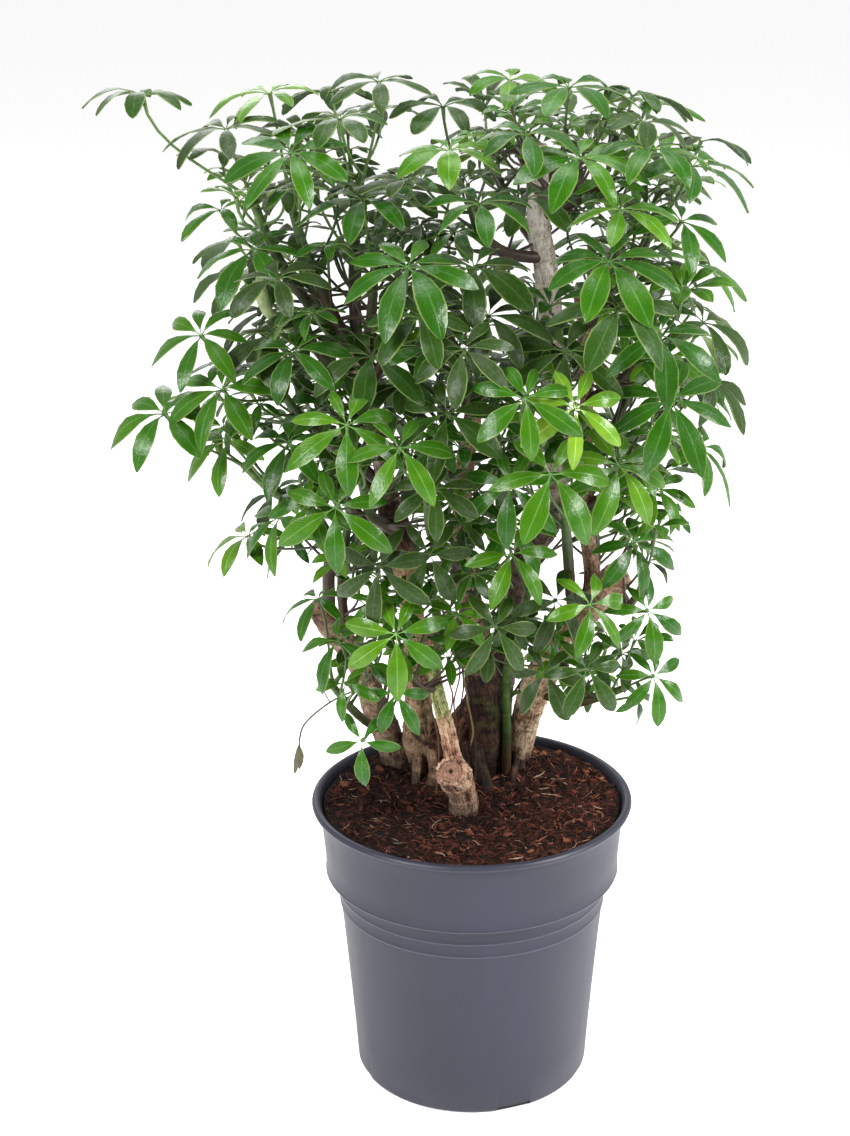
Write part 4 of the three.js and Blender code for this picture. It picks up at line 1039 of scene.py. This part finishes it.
def leafMaterial():  # leathery evergreen leaf: a waxy gloss, a paler rib and underside, feathered veins
    material, tree, surface = newMaterial("leatheryLeaf")
    spot = addNode(tree, "TexCoord", out="Object")
    place = addNode(tree, "Attribute", attribute_name="bladeSpot", out="Vector")
    tone = addNode(tree, "Attribute", attribute_name="leafTone", out="Fac")
    across, along, under = addNode(tree, "SeparateXYZ", (place,)).node.outputs
    sideways = addNode(tree, "Math", (across,), operation="ABSOLUTE")
    # patches of colour 15 mm wide
    patches = addNode(tree, "TexNoise", {"Vector": spot, "Scale": 65.0, "Detail": 3.0})
    toned = addNode(tree, "Math", (patches, 0.22, tone), operation="MULTIPLY_ADD")
    blade = addNode(
        tree, "ValToRGB", (toned,),
        stops=[
            (0.2, "#203309"), (0.34, "#233d09"), (0.46, "#1d4106"), (0.57, "#214e04"), (0.7, "#356006"),
            (0.84, "#588014"), (1, "#86a12c"),
        ],
    )
    # the veins run out and forward from the rib, about 4 mm apart
    slant = addNode(tree, "Math", (sideways, -0.22, along), operation="MULTIPLY_ADD")
    veins = addNode(tree, "Math", (slant, 88.0), operation="MULTIPLY")
    veins = addNode(tree, "Math", (veins,), operation="SINE")
    # where the veins, the rib, the margin, the leaflet's stalk and the underside are: a value, where it
    # starts and ends to count, and how much it counts
    veinLine, ribLine, margin, stalk, underSkin = (
        addNode(tree, "MapRange", (value, low, high, 0.0, most))
        for value, low, high, most in (
            (veins, 0.72, 1.0, 0.12), (sideways, 0.1, 0.02, 0.42), (sideways, 0.86, 0.95, 0.75),
            (along, 0.2, 0.12, 0.75), (under, 0.6, 0.95, 1.0),
        )
    )
    lines = veinLine
    for other in (ribLine, stalk):
        lines = addNode(tree, "Math", (lines, other), operation="MAXIMUM")
    paler = addNode(tree, "HueSaturation", {"Color": blade, "Saturation": 0.75, "Value": 2.5})
    face = addNode(tree, "Mix", {0: lines, 6: blade, 7: paler}, data_type="RGBA", out=2)
    # a pale horny rim, 0.7 mm wide
    face = addNode(tree, "Mix", {0: margin, 6: face, 7: toLinear("#66793f")}, data_type="RGBA", out=2)
    below = addNode(tree, "ValToRGB", (toned,), stops=[(0.2, "#3d5434"), (0.6, "#5d7a3a"), (1, "#94ac55")])
    colour = addNode(tree, "Mix", {0: underSkin, 6: face, 7: below}, data_type="RGBA", out=2)
    gloss = addNode(tree, "MapRange", (patches, 0.3, 0.7, 0.36, 0.5))
    # bright leaves shine, old dark ones are satin and the underside is dull
    for value, weight in ((tone, -0.36), (underSkin, 0.25)):
        gloss = addNode(tree, "Math", (value, weight, gloss), operation="MULTIPLY_ADD")
    # a leathery surface: swellings about 7 mm wide between the veins
    swell = addNode(tree, "TexNoise", {"Vector": spot, "Scale": 140.0, "Detail": 2.0})
    leather = addNode(tree, "Bump", {"Height": swell, "Strength": 0.3, "Distance": 0.0014})
    # the wax is thin in spots 2.5 mm wide, which breaks up the gloss
    wax = addNode(tree, "TexNoise", {"Vector": spot, "Scale": 400.0, "Detail": 4.0, "Roughness": 0.6})
    shine = addNode(tree, "MapRange", (wax, 0.36, 0.64, 0.17, 0.43))
    leather = addNode(tree, "Bump", {"Height": wax, "Strength": 0.4, "Distance": 0.0005, "Normal": leather})
    relief = addNode(tree, "Math", (veinLine, ribLine), operation="ADD")
    bump = addNode(
        tree, "Bump", {"Height": relief, "Strength": 0.22, "Distance": 0.0007, "Normal": leather}, invert=True
    )
    fill(
        tree, surface,
        {"Base Color": colour, "Roughness": gloss, "Specular IOR Level": shine, "Normal": bump, "IOR": 1.45},
    )
    return material


def stemMaterial():  # green shoots and petioles: smooth, banded, browner where old
    material, tree, surface = newMaterial("greenStem")
    spot = addNode(tree, "Attribute", attribute_name="barkSpot", out="Vector")
    tone = addNode(tree, "Attribute", attribute_name="leafTone", out="Fac")
    # bands round the stem, 4 mm high
    level = addNode(tree, "Mapping", {"Vector": spot, "Scale": (60, 60, 260)})
    bands = addNode(tree, "TexNoise", {"Vector": level, "Scale": 1.0, "Detail": 3.0})
    scars = addNode(tree, "Attribute", attribute_name="barkOut", out="Fac")
    mixed = tone
    for value, weight in ((bands, 0.5), (scars, -0.7)):
        mixed = addNode(tree, "Math", (value, weight, mixed), operation="MULTIPLY_ADD")
    tint = addNode(
        tree, "ValToRGB", (mixed,),
        stops=[(0.22, "#38241a"), (0.36, "#3d321a"), (0.5, "#283a12"), (0.75, "#3d5a1d"), (1, "#5f7c34")],
    )
    bump = addNode(tree, "Bump", {"Height": bands, "Strength": 0.4, "Distance": 0.0006})
    fill(tree, surface, {"Base Color": tint, "Normal": bump, "Roughness": 0.45})
    return material


def stemRelief(seed):  # old leaf scars ring a green stem every 12 mm or so
    rng = random.Random(seed)
    scars = []
    at = 0.0
    while at < 0.4:
        at += rng.uniform(7, 17) * mm
        scars.append((at, rng.uniform(0, math.tau)))

    def relief(along, turn, radius):
        out = 0.12 * noise.noise(Vector((math.cos(turn) * 2, math.sin(turn) * 2 + seed, along * 80)))
        for place, lean in scars:
            away = (along - place - 0.6 * mm * math.sin(turn + lean)) / (0.8 * mm)
            if abs(away) < 3:
                out += 0.32 * math.exp(-away * away)
        return out * mm

    return relief


def facingOf(hub):  # the level direction in which a leaf at a spot faces
    axisX, axisY = leaf["crownAxis"]
    pull = -40 if hub.y / mm < axisY else 40
    return Vector((0.55 * (hub.x / mm - axisX), hub.y / mm - axisY + pull, 0)).normalized()


def plannedLeaf(hub, count, reach, out, tilt, sag, rng):  # a new leaf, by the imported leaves' rule
    normal = (upward * math.cos(tilt) + out * math.sin(tilt)).normalized()
    along = (out - normal * out.dot(normal)).normalized()
    across = normal.cross(along)
    fan = math.radians(leaf["fan"][count > 6])
    spacing = fan / (count - 1)
    leaflets = []

    def placed(turn, r, rise):
        return hub + (along * math.cos(turn) + across * math.sin(turn)) * r + normal * rise

    for i in range(count):
        turn = -fan / 2 + i * spacing + rng.uniform(-0.07, 0.07)
        length = reach * (0.82 + 0.18 * math.cos(turn) + rng.uniform(-0.08, 0.08))
        middle = leaf["arch"] * length
        half = min(0.18 * length, middle * math.tan(0.43 * spacing))
        side = math.atan2(half, middle)
        rise = 0.5 * mm - (0.4 if sag > 0 else 0.7) * sag * length
        far = math.hypot(half, middle)
        tip = placed(turn, length, -sag * length)
        leaflets.append((placed(turn - side, far, rise), tip, placed(turn + side, far, rise)))
    return {"hub": hub, "normal": normal, "leaflets": leaflets, "reach": reach}


def treeOf(made):  # a leaf's outline as triangles over and under it, for telling whether two leaves touch
    spots, faces = [], []
    for lift in (-2.5 * mm, 2.5 * mm):
        shift = made["normal"] * lift
        for left, tip, right in made["leaflets"]:
            base = len(spots)
            spots += [made["hub"] + shift, left + shift, tip + shift, right + shift]
            faces += [(base, base + 1, base + 2), (base, base + 2, base + 3)]
    return BVHTree.FromPolygons(spots, faces)


def petioleTree(start, middle, end):  # a petiole as a thin strip
    side = (end - start).orthogonal().normalized() * 1.6 * mm
    spots = [start + side, start - side, middle + side, middle - side, end + side, end - side]
    return BVHTree.FromPolygons(spots, [(0, 1, 2), (1, 2, 3), (2, 3, 4), (3, 4, 5)])


extra = {
    "front": 9,
    "back": 13,
    "tries": 60,
    "depth": (-150, 145),  # how far to the front and the back their hubs may stand, in millimetres
    "heights": (330, 822),
    "span": (38, 88),  # from the stem to the hub
    "woodDepth": 45,  # a leaf further back hides no wood
    # openings where no added leaf may hang, as left, right, bottom and top in millimetres on the plane
    # y = 0 as the camera sees it: those that show wood, and those that show what is behind the plant
    "wood": [(-80, -46, 455, 532), (37, 63, 690, 798), (44, 73, 430, 508), (95, 130, 412, 465),
             (-75, 64, 240, 348)],
    "clear": [(9, 29, 650, 683), (-60, -22, 780, 830), (-64, 40, 240, 330), (-13, 6, 739, 758),
              (-140, -110, 718, 746), (-120, -108, 678, 697), (-101, -86, 675, 695),
              (-142, -121, 668, 680), (-92, -73, 659, 672), (-92, -76, 492, 521),
              (-175, -142, 520, 552), (70, 82, 452, 488), (97, 108, 466, 495), (-61, -47, 611, 624)],
}


def seenAt(spot):  # where the camera sees a spot on the plane y = 0, in millimetres
    x, y, z = camera["place"]
    share = -y / (spot.y - y)
    return (x + (spot.x - x) * share) / mm, (z + (spot.z - z) * share) / mm


def hides(made, openings):  # whether a leaf hangs in one of the openings
    spots = [made["hub"]]
    for left, tip, right in made["leaflets"]:
        spots += [left, tip, right, (left + right + tip * 2) / 4, (left + right + made["hub"] * 2) / 4]
    for x, z in map(seenAt, spots):
        if any(left < x < right and low < z < high for left, right, low, high in openings):
            return True
    return False


def proposeLeaf(spots, give, rng):  # one more leaf on a stem, or nothing where it can't hang
    root = spots[int(rng.uniform(0.22, 0.99) * (len(spots) - 1))]
    turn = rng.uniform(0, math.tau)
    reach = inCrown(root.z, leaf["reach"]) * rng.uniform(0.62, 1.02) * mm * (1 - 0.2 * give)
    span = rng.uniform(*extra["span"]) * mm
    out = facingOf(root)
    level = Vector((math.cos(turn), math.sin(turn), 0)) + out * rng.uniform(0, 1.2)
    away = level.normalized() * rng.uniform(0.35, 1) + upward * rng.uniform(0.2, 0.9)
    hub = root + away.normalized() * span
    low, high = crownLimits(hub.z)
    if not low + 0.7 * reach < hub.x < high - 0.7 * reach:
        return None
    (front, back), (bottom, top) = extra["depth"], extra["heights"]
    if not (front * mm < hub.y < back * mm and bottom * mm < hub.z < top * mm):
        return None
    drift = Vector((rng.uniform(-0.7, 0.7), rng.uniform(-0.7, 0.7), 0))
    facing = (facingOf(hub) + drift).normalized()
    tilt = math.radians(inCrown(hub.z, leaf["tilt"]) + rng.uniform(-26, 20))
    sag = inCrown(hub.z, leaf["sag"])
    if rng.random() < 0.5:  # a cupped leaf, its leaflets rising before they arch over
        tilt, sag = tilt * 0.6, -rng.uniform(0.15, 0.6)
    count = rng.choice((7, 7, 8, 8)) if reach > 36 * mm else rng.choice((5, 6, 7))
    made = plannedLeaf(hub, count, reach, facing, tilt, sag, rng)
    if hides(made, extra["clear"]) or hub.y < extra["woodDepth"] * mm and hides(made, extra["wood"]):
        return None
    return {**made, "middle": None, "end": root, "span": span}


def isClear(made, standing, woods):  # whether a new leaf and its petiole touch nothing
    tree = treeOf(made)
    if any(tree.overlap(wood) for wood in woods):
        return False
    hub, normal, root, span = made["hub"], made["normal"], made["end"], made["span"]
    bend = (hub - normal * 0.35 * span).lerp(root, 0.4)
    stalk = petioleTree(hub - normal * 2 * mm, bend, root)
    for other, otherTree in standing:
        apart = (other["hub"] - hub).length - other["reach"]
        if apart < made["reach"] and tree.overlap(otherTree) or apart < span and stalk.overlap(otherTree):
            return False
    return True


def growShoot(name, line, relief, leaves, leaflet, rng):  # a stem with its petioles and leaflets
    bm = withLayers(bmesh.new())
    stemTone = bm.verts.layers.float["leafTone"]
    tone = tones.get(name, 0.4)
    spots, radii, _ = cappedLine(*line, sawn=False)
    growTube(bm, spots, radii, stem["sides"], slot=1, relief=relief, capRings=5)
    for made in leaves:
        hub, end = made["hub"], made["end"]
        if end is None:
            gaps = [abs((s - hub).length - leaf["petiole"] * mm) for s in spots]
            end = spots[gaps.index(min(gaps))]
        inStem = min(spots, key=lambda s, end=end: (s - end).length)
        addPetiole(bm, hub, made["normal"], made["middle"], end, inStem)
    foot, full = stem["inSoil" if spots[0].z < soil["top"] * mm else "onWood"]
    own = stem["tones"].get(name, stem["usualTone"])
    for vert in bm.verts:
        share = between((vert.co - spots[0]).length / mm, foot, full)
        vert[stemTone] = -0.06 + (0.11 + own) * share
    for made in leaves:
        # some leaves are young and bright, the others old, dark and blunter
        isBright = rng.random() < (tone - 0.28) * 3.4
        shade = rng.uniform(0.38, 0.58) + 0.3 * (tone - 0.4) if isBright else rng.uniform(0.08, 0.28)
        blunt = rng.uniform(0, 0.5) if isBright else rng.uniform(0.5, 1.2)
        x, z = seenAt(made["hub"])
        for youngX, youngZ, youngTone in leaf["young"]:
            if math.hypot(x - youngX, z - youngZ) < leaf["youngReach"]:
                shade, blunt = youngTone, 0.3
        for left, tip, right in made["leaflets"]:
            green = shade + rng.uniform(-0.06, 0.06)
            addLeaflet(bm, leaflet, made["hub"], made["normal"], left, tip, right, green, blunt, rng)
    return bm


def makeShoots():
    rng = random.Random(5)
    leaflet = unitLeaflet()
    materials = [leafMaterial(), stemMaterial()]
    woods = []
    for name in woodLines:
        bm = bmesh.new()
        bm.from_mesh(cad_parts[name].data)
        woods.append(BVHTree.FromBMesh(bm, epsilon=0.001))
        bm.free()
    packed = {name: packedLeaves(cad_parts[name]) for name in stemLines}
    standing = []
    for found in packed.values():
        for made in found:
            made["reach"] = max((tip - made["hub"]).length for _, tip, _ in made["leaflets"])
            standing.append((made, treeOf(made)))
    print("packed leaves", len(standing))

    added = 0
    for n, (name, stations) in enumerate(stemLines.items()):
        line = smoothLine(stations, 2.5 * mm)
        extras = []
        for _ in range(extra["back" if "_back_" in name else "front"]):
            for attempt in range(extra["tries"]):
                made = proposeLeaf(line[0], attempt / extra["tries"], rng)
                if made and isClear(made, standing, woods):
                    extras.append(made)
                    standing.append((made, treeOf(made)))
                    break
        added += len(extras)
        bm = growShoot(name, line, stemRelief(n + 1), packed[name] + extras, leaflet, rng)
        finishPiece(f"{name}_leaves", bm, materials, smooth=False, replaced=[name], slot="leaf")
    print("added leaves", added)


threads = {
    # thin hanging roots between the trunks: stations in millimetres and the radius
    "roots": [
        [(-6, 32, 402), (-13, 20, 378), (-10, 16, 352), (-15, 15, 326), (-12, 15, 300), (-15, 16, 284)],
        [(-5, 30, 394), (-9, 20, 372), (-7, 17, 340), (-12, 15, 306), (-8, 14, 262), (-10, 16, 236)],
        [(-3, 28, 388), (-17, 18, 368), (-20, 16, 350), (-16, 16, 332), (-19, 17, 312)],
        [(-2, 28, 380), (-7, 19, 358), (-4, 16, 330), (1, 14, 300), (-1, 14, 288)],
        [(0, 30, 372), (-5, 20, 352), (-3, 18, 322), (3, 17, 286), (2, 18, 238)],
        [(-46, 42, 336), (-34, 22, 316), (-28, 16, 290), (-31, 14, 236)],
    ],
    "radius": 0.75,
    "tints": ["#5a2a1c", "#241712", "#7a3424", "#8f7048", "#33221a", "#5c3b2a"],
    # a leaf that dried up on its stalk, at the left
    "stalk": [(-86, 40, 330), (-100, 34, 329), (-122, 30, 319), (-143, 27, 300), (-147, 26, 286)],
    "twig": [(-126, 32, 356), (-128, 31, 338), (-120, 30, 320)],
    "dried": "#4d4a35",
    "driedLeaflets": [(-0.25, 32), (0.2, 24)],  # their leans and lengths
    # a green stem that was torn off, at the upper left: stations with their radii
    "torn": [(-118, -13, 632, 3), (-140, -18, 652, 3.2), (-157, -20, 668, 4), (-162, -20, 684, 5.4),
             (-163, -20, 700, 4.4)],
    "tornTint": "#8d9d6c",
}


def plainMaterial(name, tint, rough):  # a dull dry skin, mottled every 4 mm
    material, tree, surface = newMaterial(name)
    spot = addNode(tree, "TexCoord", out="Object")
    mottle = addNode(tree, "TexNoise", {"Vector": spot, "Scale": 240.0, "Detail": 3.0})
    shade = addNode(tree, "MapRange", (mottle, 0.35, 0.65, 0.7, 1.2))
    colour = addNode(tree, "VectorMath", {0: toLinear(tint)[:3], "Scale": shade}, operation="SCALE")
    fill(tree, surface, {"Base Color": colour, "Roughness": rough})
    return material


def makeThreads():
    bm = withLayers(bmesh.new())
    materials = []
    for n, (stations, tint) in enumerate(zip(threads["roots"], threads["tints"])):
        materials.append(plainMaterial(f"aerialRoot{n + 1}", tint, 0.7))
        spots, radii = smoothLine([(*s, threads["radius"]) for s in stations], 4 * mm)
        growTube(bm, spots, radii, 6, slot=n)
    finishPiece("aerial_roots", bm, materials, slot="bark")

    bm = withLayers(bmesh.new())
    spots, radii, _ = cappedLine(*smoothLine(threads["torn"], 3 * mm), sawn=False)
    growTube(bm, spots, radii, stem["sides"], relief=stemRelief(77), capRings=5)
    finishPiece("torn_stem", bm, [plainMaterial("scarredStem", threads["tornTint"], 0.6)], slot="leaf")

    bm = withLayers(bmesh.new())
    for key, radius in (("stalk", 0.8), ("twig", 0.55)):
        spots, radii = smoothLine([(*s, radius) for s in threads[key]], 4 * mm)
        growTube(bm, spots, radii, 6)
    hub = Vector(threads["stalk"][-1]) * mm
    side, down = Vector((0.6, -0.8, 0)), Vector((-0.15, -0.1, -1)).normalized()
    mesh = unitLeaflet()
    rng = random.Random(3)
    normal, across = Vector((0.5, -0.8, 0.2)), side * 2.6 * mm
    for lean, length in threads["driedLeaflets"]:
        tip = hub + (down + side * lean) * length * mm
        middle = hub.lerp(tip, 0.5)
        addLeaflet(bm, mesh, hub, normal, middle - across, tip, middle + across, 0, 0.2, rng)
    finishPiece(
        "dried_leaf", bm, [plainMaterial("driedLeaf", threads["dried"], 0.75)], smooth=False, slot="leaf"
    )


def feetOfWoods():  # where each trunk meets the soil, and its radius there
    feet = []
    for parts in woodLines.values():
        for stations in parts:
            for (x, y, z, r), (nextX, nextY, nextZ, nextR) in zip(stations, stations[1:]):
                if min(z, nextZ) <= soil["top"] <= max(z, nextZ):
                    share = (soil["top"] - z) / (nextZ - z)
                    spot = Vector((x + (nextX - x) * share, y + (nextY - y) * share)) * mm
                    feet.append((spot, (r + (nextR - r) * share) * mm))
    return feet


print("view and studio")
setUpView()
print("pot")
makePot()
print("soil")
woodFeet = feetOfWoods()
makeSoil()
print("trunks")
makeWoods()
makeRoots()
print("shoots")
makeShoots()
print("aerial roots and a dried leaf")
makeThreads()
